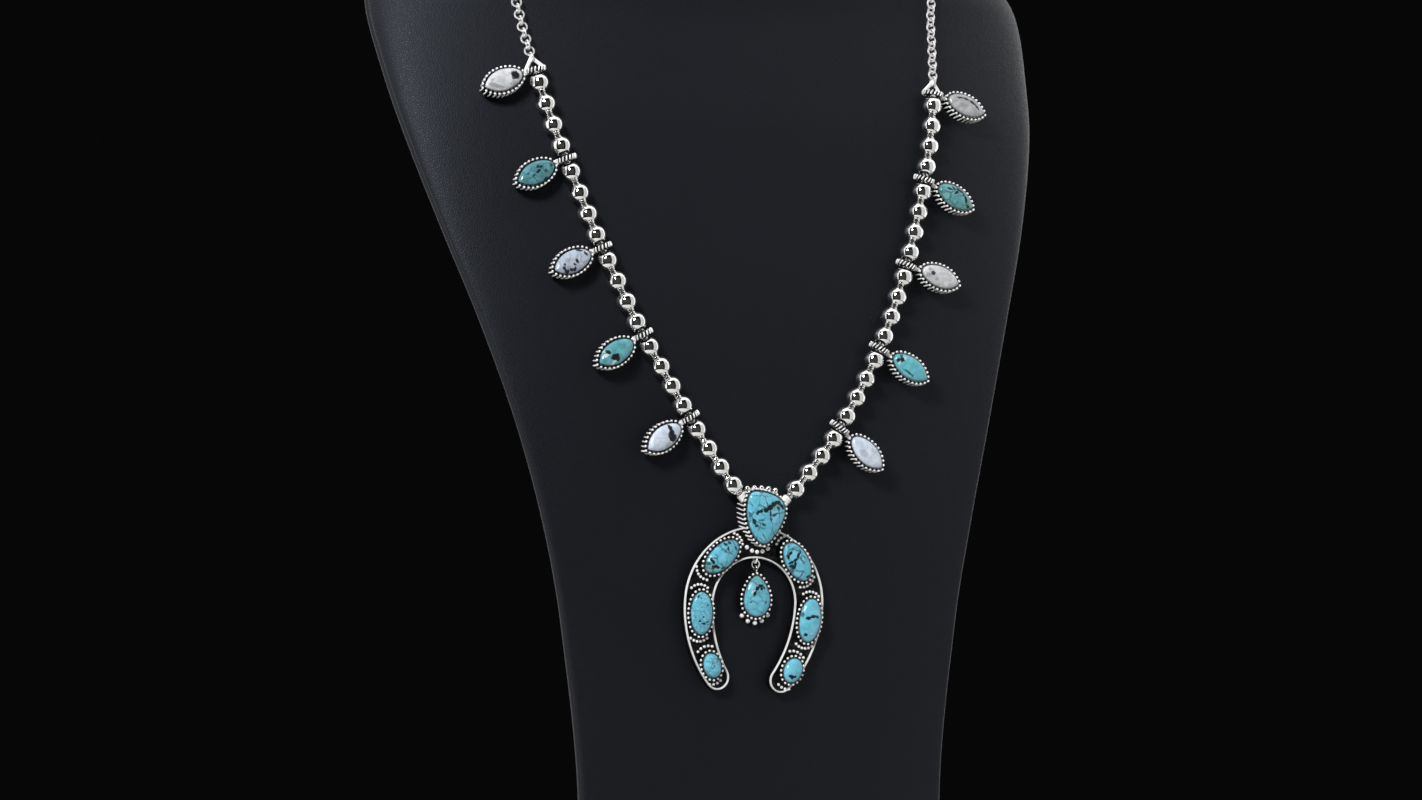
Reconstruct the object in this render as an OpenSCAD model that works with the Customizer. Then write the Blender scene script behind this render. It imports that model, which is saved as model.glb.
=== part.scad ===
// Squash blossom necklace hung on a plain neck bust
// Front faces -Y, +X is to the viewer's right, the foot stands on Z = 0

/* [Neck bust] */
// Height of the form above its foot
form_h = 390; // [370:5:410]
// Width of the form across the shoulders
form_w = 224; // [215:1:240]
// How far the form's edge line sets back between the waist and the neck
form_lean = 64; // [56:1:72]
// How far the front of the neck stands before the edge line
neck_front = 40; // [37:1:43]
// How far the back of the form stands behind the edge line
form_back = 44; // [36:1:52]
// Thickness of the folded edge
edge_t = 3; // [2:0.5:4]
// Width of the foot
foot_w = 160; // [130:5:200]
// Depth of the foot
foot_d = 124; // [110:2:150]
// Thickness of the foot
foot_t = 12; // [8:1:16]
// Corner radius of the foot
foot_r = 18; // [8:1:30]
// How far the foot's middle lies behind the waist's edge line
foot_back = 12; // [6:1:20]

/* [Beads and thread] */
// Diameter of a round bead
bead_d = 6.2; // [5.8:0.1:6.3]
// Diameter of the collar at each end of a bead
collar_d = 2.5; // [2.2:0.1:3]
// Length of a bead over its two collars
bead_l = 6.55; // [6.4:0.05:7]
// Bore through a bead
bore_d = 1.4; // [1.3:0.05:1.6]
// Diameter of the stringing wire
thread_d = 0.9; // [0.7:0.05:1]
// Beads between two blossoms
run_beads = 4; // [3:1:4]

/* [Blossoms] */
// Outer diameter of the ribbed ring round the strand
ring_d = 7; // [6.2:0.1:7.2]
// Thickness of the ribbed ring
ring_t = 1.4; // [1.1:0.1:1.7]
// Length of a blossom's stone
blossom_l = 12.6; // [11.4:0.2:13.2]
// Width of a blossom's stone
blossom_w = 6.6; // [6:0.2:7.4]
// Depth of a blossom's cup
blossom_cup_h = 4; // [3.4:0.1:4.6]
// How much wider the ring's hole is than the collars of the beads beside it
ring_play = 0.7; // [0.6:0.05:0.9]
// From the strand's axis to the near end of the blossom's stone
blossom_reach = 5; // [4.8:0.1:6]
// Width of the open triangular bail at the topmost ring
bail_w = 6.2; // [6:0.1:6.4]
// Height of the bail from the ring's middle to its apex
bail_h = 4; // [3.8:0.1:4.1]
// Diameter of the bail's wire
bail_wire_d = 0.65; // [0.6:0.05:0.7]

/* [Settings] */
// Wall of a bezel cup with the ledge that carries its beaded wire
cup_wall = 1.1; // [0.95:0.05:1.25]
// How far the thin lip of a cup stands in from the outside of its wall
lip_step = 0.7; // [0.55:0.05:0.8]
// Height of that lip above the wall
lip_h = 0.5; // [0.3:0.1:0.7]
// Depth of a stone's seat below the lip
seat_depth = 1.6; // [1.3:0.1:1.8]
// Height of a stone's dome above its straight edge
dome_h = 1.4; // [1:0.1:2]
// Play round a stone in its seat
stone_play = 0.06; // [0.05:0.01:0.1]

/* [Naja] */
// Outer radius of the crescent
naja_r = 23.3; // [22:0.1:24]
// Width of the crescent's band at the top
naja_band = 9.8; // [9.4:0.1:10.2]
// Radius of each arm's outer and inner sweep below the widest place
arm_r = 38; // [36:0.5:40]
// Radius of each arm's round end
arm_end_r = 3.9; // [3.6:0.1:4.2]
// Thickness of the crescent's bed
naja_bed_t = 2.3; // [2:0.1:2.6]
// Height of the polished rim above the bed
rim_h = 0.7; // [0.5:0.1:1]
// Width of the polished rim
rim_w = 0.8; // [0.6:0.1:1]
// From the strand tubes down to the crescent's centre
naja_drop = 32.4; // [32:0.1:33]
// Sideways tilt of the naja as it hangs, in degrees
naja_tilt = 4; // [2:0.5:6]
// How far the naja hangs to the viewer's left of the middle
naja_shift = 4; // [3:0.1:5]
// Height of the naja's strand tubes above the floor
naja_z = 168; // [166:0.5:170]
// Depth of the cups on the crescent above its bed
naja_cup_h = 2.2; // [1.9:0.1:2.5]
// Width of the shield shaped top stone
shield_w = 12.9; // [12:0.1:13.4]
// Height of the shield shaped top stone
shield_h = 15.3; // [14.4:0.1:15.8]
// Depth of the top stone's cup from the naja's back
shield_cup_h = 6.4; // [6:0.1:7]
// Diameter of the tubes that take the strands
tube_d = 2.9; // [2.6:0.1:3.2]
// Length of the tubes that take the strands
tube_l = 2.6; // [2.2:0.1:3]

/* [Drop] */
// Width of the pear shaped stone
drop_w = 8.4; // [7.8:0.1:9]
// Height of the pear shaped stone
drop_h = 12.3; // [11.6:0.1:13]
// Depth of the drop's cup
drop_cup_h = 2.3; // [2:0.1:2.6]
// Radius of the middle of the two small eyes' wire
eye_r = 0.95; // [0.9:0.05:1.05]
// Radius of the middle of the jump ring's wire
jump_r = 1.25; // [1.25:0.05:1.4]
// Diameter of the eyes' and the jump ring's wire
jump_wire_d = 0.6; // [0.5:0.05:0.65]

/* [Chain] */
// Outer diameter of a chain link
link_d = 3.4; // [3.3:0.05:3.5]
// Diameter of a chain link's wire
link_wire_d = 0.55; // [0.5:0.05:0.6]
// Length of the clasp's body
clasp_l = 9; // [7:0.5:12]
// Thickness of the clasp's body
clasp_t = 2.4; // [2:0.1:3]

/* [Clearances] */
// Gap between neighbours on a strand and between linked rings
gap = 0.22; // [0.2:0.01:0.26]
// Gap between the necklace and the form behind it
rest_gap = 0.35; // [0.3:0.05:0.6]

/* [Hidden] */
// Blossoms on each side of the strand
SIDE_BLOSSOMS = 5;
SIDES = ["left", "right"];
$fn = 48;
// Sides of thin wires and small balls
FINE_FN = 24;
// How far a cut runs on past what it cuts
CUT_OVER = 1;

SILVER = [0.80, 0.80, 0.82];
DARK_SILVER = [0.55, 0.55, 0.57];
LEATHER = [0.13, 0.13, 0.15];
TURQUOISE = [0.25, 0.68, 0.73];
WHITE_STONE = [0.83, 0.84, 0.87];
WIRE = [0.62, 0.62, 0.64];

// Sections of the form from its foot to the neck's top, as shares:
// height of form_h, half width of form_w / 2, set back of form_lean,
// front crown of neck_front, back of form_back, and the power of the back's curve
FORM_ROWS = [
    // height, width, set back, crown, back, power
    [0.000, 0.560, 0.000, 0.075, 0.90, 2.0],
    [0.164, 0.541, 0.000, 0.075, 0.90, 2.0],
    [0.303, 0.592, 0.000, 0.075, 0.92, 2.0],
    [0.379, 0.642, 0.004, 0.078, 0.94, 2.0],
    [0.456, 0.710, 0.045, 0.095, 0.96, 2.0],
    [0.533, 0.791, 0.139, 0.165, 0.99, 2.0],
    [0.610, 0.880, 0.268, 0.262, 1.00, 2.0],
    [0.687, 0.955, 0.431, 0.410, 1.00, 2.0],
    [0.738, 0.985, 0.574, 0.530, 0.98, 2.0],
    [0.779, 0.998, 0.690, 0.630, 0.96, 1.9],
    [0.803, 0.980, 0.745, 0.700, 0.94, 1.8],
    [0.825, 0.915, 0.790, 0.765, 0.92, 1.6],
    [0.843, 0.815, 0.826, 0.825, 0.90, 1.45],
    [0.861, 0.695, 0.858, 0.878, 0.87, 1.3],
    [0.880, 0.580, 0.888, 0.925, 0.84, 1.15],
    [0.901, 0.490, 0.916, 0.962, 0.81, 1.0],
    [0.928, 0.432, 0.947, 0.988, 0.79, 1.0],
    [1.000, 0.405, 1.000, 1.000, 0.76, 1.0]
];
// Steps round half of a section, and the greatest height between two sections
ROUND_STEPS = 20;
LEVEL_STEP = 10;
// Half the angle that the folded edge takes of the way round
EDGE_ANGLE = 4;

// Route of each strand and chain from the naja to the clasp, chosen by hand:
// height above the floor, angle round the form, sideways drift of the angle,
// lift off the form in ring radii, and rise of the left side over the middle
ROUTE = [
    // height, angle, drift, lift, rise
    [166.0, 4.6, 2.4, 1, 0.6],
    [171.0, 8.0, 2.2, 1, 0.6],
    [178.0, 12.0, 1.7, 1, 0.65],
    [187.0, 16.4, 1.1, 1, 0.7],
    [203.0, 22.4, 0.6, 1, 0.7],
    [219.0, 27.0, 0.5, 1, 0.6],
    [240.0, 30.8, 0.5, 1, 0.5],
    [263.0, 33.4, 0.7, 1, 0.4],
    [282.0, 35.0, 1.0, 1, 0.2],
    [296.0, 35.9, 1.1, 1, 0.1],
    [306.0, 36.4, 1.1, 0.8, 0],
    [319.0, 37.3, 1.0, 0.56, 0],
    [333.0, 40.4, 0.7, 0.56, 0],
    [345.0, 48.0, 0.3, 0.56, 0],
    [355.0, 61.5, 0.0, 0.56, 0],
    [361.0, 81.0, 0.0, 0.56, 0],
    [363.5, 108.0, 0.0, 0.56, 0],
    [364.5, 142.0, 0.0, 0.56, 0],
    [364.5, 180.0, 0.0, 0.56, 0]
];
// Pieces of the route between two rows
ROUTE_STEPS = 10;

// Droop of each blossom from square to its strand, in degrees, left then right, topmost first
DROOP = [[9, 7, 3, 4, 3], [13, 17, 1, 8, 12]];
// How far each ring leans out of square to its strand, top towards the viewer, in degrees
RING_LEAN = [[12, 4, 0, 0, -5], [15, 15, 15, 15, 15]];
// How far each side's blossoms stand off the form at their tips, in degrees
STAND_OFF = [1, 6];
// Colour of each blossom's stone, topmost first: 0 is white, 1 is turquoise
BLOSSOM_TINT = [0, 1, 0, 1, 0];

// Stones of the crescent, left then right, from the top down:
// place beside and above the crescent's centre, length, width, lean from upright,
// and the raindrops at its upper and lower ends
NAJA_STONES = [
    // across, up, long, wide, lean, drops above, drops below
    [-12.5, 13.5, 13.2, 7.0, -46, 5, 6],
    [-18.1, -3.8, 12.8, 7.0, 3, 6, 6],
    [-13.5, -19.3, 7.5, 5.6, 22, 5, 4],
    [12.7, 13.3, 12.8, 7.2, 37, 5, 6],
    [18.2, -4.2, 13.0, 6.9, -5, 6, 6],
    [13.5, -19.6, 7.5, 5.8, -20, 5, 4]
];
// Raindrops on the bed: their radius, how deep they sit in it, the way between the skins
// of two, and the way from a cup's wall to their skins
RAINDROP_R = 0.55;
RAINDROP_SINK = 0.2;
RAINDROP_PITCH = 2 * RAINDROP_R + 0.3;
RAINDROP_OUT = 0.5;
// Raindrops over the top cup: how many, their radius, the way between two, the way from the
// cup's wall to their middles and the bow of the row
CROWN_DROPS = 5;
CROWN_DROP_R = 1;
CROWN_DROP_STEP = 2.35;
CROWN_DROP_OUT = 0.3;
CROWN_BOW = 0.02;
// The strip that the crown's raindrops sit on: its depth and how far it reaches down
CROWN_STRIP_T = 1;
CROWN_STRIP_H = 3.5;
// Raindrops under the top cup: how many, their radius, the way between two, the way from the
// cup's wall to their middles and the bow of the row
SMILE_DROPS = 5;
SMILE_DROP_R = 0.7;
SMILE_DROP_STEP = 1.75;
SMILE_DROP_OUT = 1.5;
SMILE_BOW = 0.1;
// Raindrops under the pear cup: the angle between two, and the way from the cup's wall
PEAR_DROP_ANGLE = 22;
PEAR_DROP_OUT = 0.9;
// The thin plate behind the pear cup and how far it stands out past the wall
PEAR_PLATE_T = 0.7;
PEAR_PLATE_OUT = 0.4;

// Outline of the shield stone, shares of its width and height
SHIELD = [
    [-0.40, 0.47], [0.02, 0.50], [0.40, 0.37], [0.50, 0.12],
    [0.33, -0.25], [0.04, -0.50], [-0.27, -0.33], [-0.46, 0.05]
];
// Points between two of them, and how far its top stands above the strand tubes
SHIELD_POWER = 4;
SHIELD_TOP = 1;
// How much higher the top stone's dome is than the others
SHIELD_DOME = 0.4;

bead_pitch = bead_l + gap;
ring_pitch = ring_t + gap;
run_l = run_beads * bead_pitch + ring_pitch;
strand_start = tube_l + gap;
link_r = (link_d - link_wire_d) / 2;
link_reach = link_d - 2 * link_wire_d - gap;
form_z = foot_t;
top_ring_s = strand_start + SIDE_BLOSSOMS * run_l - ring_pitch / 2;
naja_centre = [0, -naja_drop];
naja_inner_r = naja_r - naja_band;
shield_up = SHIELD_TOP - shield_h / 2;

// Helpers for lists and directions

function last(list) = list[len(list) - 1];

function row_before(rows, at, i = 0) =
    i >= len(rows) - 2 || at < rows[i + 1][0] ? i : row_before(rows, at, i + 1);

function slope(rows, i, col) =
    let(a = max(i - 1, 0), b = min(i + 1, len(rows) - 1))
    (rows[b][col] - rows[a][col]) / (rows[b][0] - rows[a][0]);

// Smooth curve through one column of a table, by its first column
function smooth(rows, at, col) =
    let(
        i = row_before(rows, at),
        w = rows[i + 1][0] - rows[i][0],
        t = (at - rows[i][0]) / w,
        a = rows[i][col],
        b = rows[i + 1][col]
    )
    a * (1 + 2 * t) * (1 - t) * (1 - t) + b * t * t * (3 - 2 * t)
    + w * t * (1 - t) * ((1 - t) * slope(rows, i, col) - t * slope(rows, i + 1, col));

// Smooth curve through a list of points, u counts from one point to the next
function wrap_point(points, i) = points[(i + len(points)) % len(points)];

function loop_point(points, u) =
    let(
        i = floor(u),
        t = u - i,
        a = wrap_point(points, i - 1),
        b = wrap_point(points, i),
        c = wrap_point(points, i + 1),
        d = wrap_point(points, i + 2)
    )
    0.5 * (2 * b + (c - a) * t + (2 * a - 5 * b + 4 * c - d) * t * t
        + (3 * b - a - 3 * c + d) * t * t * t);

function unit(v) = v / norm(v);

// Outline moved outwards by d, for a list of points that runs anticlockwise
function grow(points, d) = [
    for (i = [0:len(points) - 1])
        let(
            v = unit(wrap_point(points, i + 1) - wrap_point(points, i - 1))
        )
        points[i] + d * [v[1], -v[0]]
];

// The neck bust's form

function form_value(h, col, size) = smooth(FORM_ROWS, (h - form_z) / form_h, col) * size;

function form_half_w(h) = form_value(h, 1, form_w / 2);

function form_edge_y(h) = form_value(h, 2, form_lean) - foot_back;

// Place on the form's skin at height h, at an angle a from the front's middle
function form_at(h, a) =
    let(
        side = a < 0 ? -1 : 1,
        turn = abs(a),
        lim = 90 - EDGE_ANGLE,
        front = turn * 90 / lim,
        behind = 90 + (turn - 90 - EDGE_ANGLE) * 90 / lim,
        w = form_half_w(h),
        e = form_edge_y(h)
    )
    turn <= lim ? [side * w * sin(front), e - form_value(h, 3, neck_front) * cos(front), h]
    : turn < 90 + EDGE_ANGLE ? [side * w, e + edge_t * (turn - lim) / (2 * EDGE_ANGLE), h]
    : [
        side * w * sin(behind),
        e + edge_t + form_value(h, 4, form_back) * pow(abs(cos(behind)), form_value(h, 5, 1)),
        h
    ];

// Outward direction of the skin there, from a small step each way
SKIN_STEP = 0.5;

function form_normal(h, a) =
    let(d = SKIN_STEP)
    unit(cross(form_at(h, a + d) - form_at(h, a - d), form_at(h + d, a) - form_at(h - d, a)));

function form_levels() = [
    for (i = [0:len(FORM_ROWS) - 2])
        let(
            a = FORM_ROWS[i][0] * form_h,
            b = FORM_ROWS[i + 1][0] * form_h,
            n = ceil((b - a) / LEVEL_STEP)
        )
        for (k = [0:n - 1]) form_z + a + (b - a) * k / n,
    form_z + form_h
];

function form_angles() = concat(
    [for (k = [0:ROUND_STEPS]) (90 - EDGE_ANGLE) * (2 * k / ROUND_STEPS - 1)],
    [for (k = [0:ROUND_STEPS]) 90 + EDGE_ANGLE + (180 - 2 * EDGE_ANGLE) * k / ROUND_STEPS]
);

function turn_in(a) = a > 180 ? a - 360 : a;

// Closed skin over rings of equally many points, each ring anticlockwise from above
module skin(rings) {
    n = len(rings[0]);
    m = len(rings);
    points = [for (r = rings) for (p = r) p];
    sides = [
        for (j = [0:m - 2]) for (i = [0:n - 1])
            let(k = (i + 1) % n, a = j * n, b = (j + 1) * n)
            for (f = [[a + i, b + i, b + k], [a + i, b + k, a + k]]) f
    ];
    bottom = [for (i = [0:n - 1]) i];
    top = [for (i = [n - 1:-1:0]) (m - 1) * n + i];
    polyhedron(points = points, faces = concat(sides, [bottom, top]));
}

module bust_form() {
    color(LEATHER)
        skin([for (h = form_levels()) [for (a = form_angles()) form_at(h, turn_in(a))]]);
}

module bust_foot() {
    color(LEATHER)
        union() {
            for (x = [-1, 1]) for (y = [-1, 1])
                translate([x * (foot_w / 2 - foot_r), y * (foot_d / 2 - foot_r), 0])
                    cylinder(r = foot_r, h = foot_t);
            translate([-foot_w / 2, foot_r - foot_d / 2, 0])
                cube([foot_w, foot_d - 2 * foot_r, foot_t]);
            translate([foot_r - foot_w / 2, -foot_d / 2, 0])
                cube([foot_w - 2 * foot_r, foot_d, foot_t]);
        }
}

// The route of a strand and its chain

function route_u(u, col) =
    let(
        n = len(ROUTE) - 1,
        i = min(floor(u), n - 1),
        t = u - i,
        a = ROUTE[max(i - 1, 0)][col],
        b = ROUTE[i][col],
        c = ROUTE[i + 1][col],
        d = ROUTE[min(i + 2, n)][col]
    )
    0.5 * (2 * b + (c - a) * t + (2 * a - 5 * b + 4 * c - d) * t * t
        + (3 * b - a - 3 * c + d) * t * t * t);

function route_angle(side, u) = side * route_u(u, 1) - route_u(u, 2);

function route_height(side, u) = route_u(u, 0) - side * route_u(u, 4);

function route_raw(side, u) =
    let(h = route_height(side, u), a = route_angle(side, u))
    form_at(h, a) + form_normal(h, a) * (route_u(u, 3) * ring_d / 2 + rest_gap);

// Length along the route, height and angle on the form, and the place in space
function route_table(side) =
    let(
        n = (len(ROUTE) - 1) * ROUTE_STEPS,
        p = [for (i = [0:n]) route_raw(side, i / ROUTE_STEPS)]
    )
    [
        for (i = 0, s = 0; i <= n; i = i + 1, s = s + (i <= n ? norm(p[i] - p[i - 1]) : 0))
            [s, route_height(side, i / ROUTE_STEPS), route_angle(side, i / ROUTE_STEPS), p[i]]
    ];

function along(table, s) =
    let(
        i = row_before(table, s),
        t = (s - table[i][0]) / (table[i + 1][0] - table[i][0])
    )
    table[i][3] + t * (table[i + 1][3] - table[i][3]);

// Direction of the route at s, from a small step each way
HEADING_STEP = 1;

function heading(table, s) = unit(along(table, s + HEADING_STEP) - along(table, s - HEADING_STEP));

// Outward direction at s, square to the route
function outward(table, s) =
    let(
        i = row_before(table, s),
        t = (s - table[i][0]) / (table[i + 1][0] - table[i][0]),
        h = table[i][1] + t * (table[i + 1][1] - table[i][1]),
        a = table[i][2] + t * (table[i + 1][2] - table[i][2]),
        n = form_normal(h, a),
        v = heading(table, s)
    )
    unit(n - v * (n * v));

LEFT = route_table(-1);
RIGHT = route_table(1);

function table_of(side) = side < 0 ? LEFT : RIGHT;

// Sets its children on the route: X square to it, Y along it, Z out of the form
module on_route(side, s) {
    p = along(table_of(side), s);
    y = heading(table_of(side), s);
    z = outward(table_of(side), s);
    x = cross(y, z);
    multmatrix([
        [x[0], y[0], z[0], p[0]],
        [x[1], y[1], z[1], p[1]],
        [x[2], y[2], z[2], p[2]],
        [0, 0, 0, 1]
    ])
        children();
}

function bead_s(i) =
    strand_start + floor(i / run_beads) * run_l + (i % run_beads + 0.5) * bead_pitch;

// Middle of ring i, counted from the topmost down
function ring_s(i) = top_ring_s - i * run_l;

// Beads, thread, chain and clasp

// A round bead with a collar at each end, its bore along Y
module bead() {
    rotate([90, 0, 0])
        difference() {
            union() {
                sphere(d = bead_d);
                cylinder(d = collar_d, h = bead_l, center = true);
            }
            cylinder(d = bore_d, h = bead_l + CUT_OVER, center = true);
        }
}

module beads(side) {
    color(SILVER)
        for (i = [0:run_beads * SIDE_BLOSSOMS - 1])
            on_route(side, bead_s(i))
                bead();
}

// Sides of the thread and the greatest step between its sections
THREAD_SIDES = 8;
THREAD_STEP = 2.6;

// Where the thread starts inside the naja's tube
THREAD_START = 0.6;

module thread(side) {
    from = THREAD_START;
    to = top_ring_s + ring_t / 2;
    n = ceil((to - from) / THREAD_STEP);
    table = table_of(side);
    rings = [
        for (k = [0:n])
            let(
                s = from + (to - from) * k / n,
                y = heading(table, s),
                z = outward(table, s),
                x = cross(y, z)
            )
            [
                for (j = [0:THREAD_SIDES - 1])
                    let(a = -360 * j / THREAD_SIDES)
                    along(table, s) + (x * cos(a) + z * sin(a)) * thread_d / 2
            ]
    ];
    color(WIRE)
        skin(rings);
}

// A closed round ring of wire, its axis along Z
module wire_ring(r, wire_d) {
    rotate_extrude()
        translate([r, 0])
            circle(d = wire_d, $fn = FINE_FN);
}

// Middle of the first link, hung in the bail, and the way from there to the clasp's eye
BAIL_LIFT = 0.12;
first_link_s = top_ring_s + bail_h + BAIL_LIFT;
clasp_eye_s = last(RIGHT)[0] - clasp_l / 2;
link_count = ceil((clasp_eye_s - first_link_s) / link_reach);
link_pitch = (clasp_eye_s - first_link_s) / link_count;

module chain(side) {
    color(SILVER)
        for (i = [0:link_count - 1])
            on_route(side, first_link_s + i * link_pitch + (side < 0 ? chain_trim(i) : 0))
                rotate([0, i % 2 == 0 ? 90 : 0, 0])
                    wire_ring(link_r, link_wire_d);
}

// The left route's length differs a little, and its links share the difference
function chain_trim(i) = (last(LEFT)[0] - last(RIGHT)[0]) * i / link_count;

module clasp() {
    middle = (last(LEFT)[3] + last(RIGHT)[3]) / 2;
    color(SILVER)
        translate(middle)
            rotate([0, 90, 0])
                union() {
                    cylinder(d = clasp_t, h = clasp_l - link_d + link_wire_d, center = true);
                    for (k = [-1, 1])
                        translate([0, 0, k * clasp_l / 2])
                            rotate(link_count % 2 == 0 ? [0, 90, 0] : [90, 0, 0])
                                wire_ring(link_r, link_wire_d);
                }
}

// Stones and their settings, flat on Z = 0 with their domes up

// Marquise: pointed at +X, blunter at -X, by the power of its curve and how it varies
MARQUISE_POINTS = 24;
MARQUISE_POWER = 1.33;
MARQUISE_POINTED = 0.27;

function marquise(l, w) = [
    for (k = [0:MARQUISE_POINTS - 1])
        let(
            a = 360 * k / MARQUISE_POINTS,
            power = MARQUISE_POWER + MARQUISE_POINTED * cos(a),
            y = pow(abs(sin(a)), power)
        )
        [l / 2 * cos(a), w / 2 * (a > 180 ? -y : y)]
];

OVAL_POINTS = 28;

function oval(l, w) = [
    for (k = [0:OVAL_POINTS - 1])
        let(a = 360 * k / OVAL_POINTS)
        [w / 2 * cos(a), l / 2 * sin(a)]
];

// Pear: narrow at +Y, round at -Y, by how much it tapers and how hollow its shoulders are
PEAR_TAPER = 0.24;
PEAR_HOLLOW = 0.08;

function pear(l, w) = [
    for (k = [0:OVAL_POINTS - 1])
        let(a = 360 * k / OVAL_POINTS)
        [w / 2 * cos(a) * (1 - PEAR_TAPER * sin(a) - PEAR_HOLLOW * sin(a) * sin(a)), l / 2 * sin(a)]
];

function shield() = [
    for (k = [0:len(SHIELD) * SHIELD_POWER - 1])
        let(p = loop_point(SHIELD, -k / SHIELD_POWER + len(SHIELD)))
        [p[0] * shield_w, p[1] * shield_h]
];

// A domed stone with a straight edge below: steps of its dome and the angle they reach
DOME_STEPS = 4;
DOME_ANGLE = 78;

module cabochon(points, dome) {
    edge = grow(points, -stone_play);
    girdle = seat_depth - stone_play;
    layers = concat(
        [[1, 0], [1, girdle]],
        [
            for (k = [1:DOME_STEPS])
                let(a = DOME_ANGLE * k / DOME_STEPS)
                [cos(a), girdle + dome * sin(a)]
        ]
    );
    skin([for (l = layers) [for (i = [len(edge) - 1:-1:0]) [edge[i][0] * l[0], edge[i][1] * l[0], l[1]]]]);
}

// A cup with a thin lip round its stone, h over all
module cup(points, h) {
    difference() {
        union() {
            linear_extrude(h - lip_h)
                polygon(grow(points, cup_wall));
            linear_extrude(h)
                polygon(grow(points, cup_wall - lip_step));
        }
        translate([0, 0, h - seat_depth])
            linear_extrude(seat_depth + CUT_OVER)
                polygon(points);
    }
}

// Blossoms

// Middle of a blossom's stone from the strand's axis
blossom_mid = blossom_reach + blossom_l / 2;
// The cup's underside below the strand's axis
blossom_low = -blossom_cup_h / 2;
// The neck between ring and cup: how deep it starts in the ring, and its length
NECK_SINK = 0.4;
neck_l = blossom_reach - cup_wall / 2 - ring_d / 2 + NECK_SINK;

module blossom_place(side, i) {
    k = side < 0 ? 0 : 1;
    on_route(side, ring_s(i))
        rotate([0, 0, side < 0 ? 180 + DROOP[k][i] : -DROOP[k][i]])
            rotate([0, -STAND_OFF[k], 0])
                children();
}

// Sets its children on a leaning ring: Z along the ring's axis
module on_ring(side, i) {
    on_route(side, ring_s(i))
        rotate([90 + RING_LEAN[side < 0 ? 0 : 1][i], 0, 0])
            children();
}

// How much thicker the bail's soldered apex is than its wire
BAIL_SOLDER = 0.1;

module bail() {
    apex = [0, bail_h, 0];
    for (k = [-1, 1]) {
        from = [k * (bail_w - bail_wire_d) / 2, 0, 0];
        way = apex - from;
        translate(from)
            rotate([0, 0, atan2(-way[0], way[1])])
                rotate([-90, 0, 0])
                    cylinder(d = bail_wire_d, h = norm(way), $fn = FINE_FN);
    }
    translate(apex)
        sphere(d = bail_wire_d + BAIL_SOLDER, $fn = FINE_FN);
}

module blossom(side, i) {
    color(DARK_SILVER)
        difference() {
            union() {
                on_ring(side, i)
                    cylinder(d = ring_d, h = ring_t, center = true);
                blossom_place(side, i) {
                    translate([ring_d / 2 - NECK_SINK, 0, 0])
                        rotate([0, 90, 0])
                            cylinder(d = ring_t, h = neck_l);
                    translate([blossom_mid, 0, blossom_low])
                        cup(marquise(blossom_l, blossom_w), blossom_cup_h);
                }
                if (i == 0)
                    on_route(side, ring_s(i))
                        bail();
            }
            on_ring(side, i)
                cylinder(d = collar_d + ring_play, h = ring_t + CUT_OVER, center = true);
        }
}

module blossom_stone(side, i) {
    color(BLOSSOM_TINT[i] == 1 ? TURQUOISE : WHITE_STONE)
        blossom_place(side, i)
            translate([blossom_mid, 0, blossom_low + blossom_cup_h - seat_depth + stone_play])
                cabochon(marquise(blossom_l, blossom_w), dome_h);
}

// The naja: modelled flat, X across, Y up, Z out to the front

naja_y = form_at(naja_z - naja_drop, 0)[1] - rest_gap;

module naja_place() {
    translate([-naja_shift, naja_y, naja_z])
        rotate([0, naja_tilt, 0])
            rotate([90, 0, 0])
                children();
}

function arc(c, r, from, to, n) = [
    for (k = [0:n])
        let(a = from + (to - from) * k / n)
        [c[0] + r * cos(a), c[1] + r * sin(a)]
];

// Steps of the crescent's five arcs, from its top down the outside, round an arm's end and up
// the inside, and the angles left between one arc and the next
ARC_STEPS = [12, 7, 5, 6, 9];
OUTER_SKIP = 6;
INNER_SKIP = 7;
END_SKIP = 22;

// Outline of the crescent, drawn in by inset all round
function crescent(inset) =
    let(
        outer_c = [naja_r - arm_r, naja_centre[1]],
        inner_c = [naja_inner_r - arm_r, naja_centre[1]],
        far = arm_r - arm_end_r,
        near = arm_r + arm_end_r,
        x = (near * near - far * far + naja_band * naja_band) / (2 * naja_band),
        end_c = [inner_c[0] + x, naja_centre[1] - sqrt(near * near - x * x)],
        outer_a = atan2(end_c[1] - outer_c[1], end_c[0] - outer_c[0]),
        inner_a = atan2(end_c[1] - inner_c[1], end_c[0] - inner_c[0]),
        half = concat(
            arc(naja_centre, naja_r - inset, 90, OUTER_SKIP, ARC_STEPS[0]),
            arc(outer_c, arm_r - inset, 0, outer_a, ARC_STEPS[1]),
            arc(end_c, arm_end_r - inset, outer_a - END_SKIP, inner_a - 180 + END_SKIP, ARC_STEPS[2]),
            arc(inner_c, arm_r + inset, inner_a, 0, ARC_STEPS[3]),
            arc(naja_centre, naja_inner_r + inset, INNER_SKIP, 90, ARC_STEPS[4])
        ),
        n = len(half)
    )
    concat(half, [for (i = [n - 2:-1:1]) [-half[i][0], half[i][1]]]);

module naja_stone_place(k) {
    row = NAJA_STONES[k];
    translate([row[0], naja_centre[1] + row[1], naja_bed_t])
        rotate([0, 0, row[4]])
            children();
}

// Raindrops in a bow round the upper (+1) or lower (-1) end of a stone
module end_drops(l, w, count, end) {
    out = cup_wall + RAINDROP_R + RAINDROP_OUT;
    step = 360 * RAINDROP_PITCH / (PI * ((w + l) / 2 + 2 * out));
    for (k = [0:count - 1]) {
        a = 90 + (k - (count - 1) / 2) * step;
        translate([(w / 2 + out) * cos(a), end * (l / 2 + out) * sin(a), RAINDROP_R - RAINDROP_SINK])
            sphere(r = RAINDROP_R, $fn = FINE_FN);
    }
}

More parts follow.
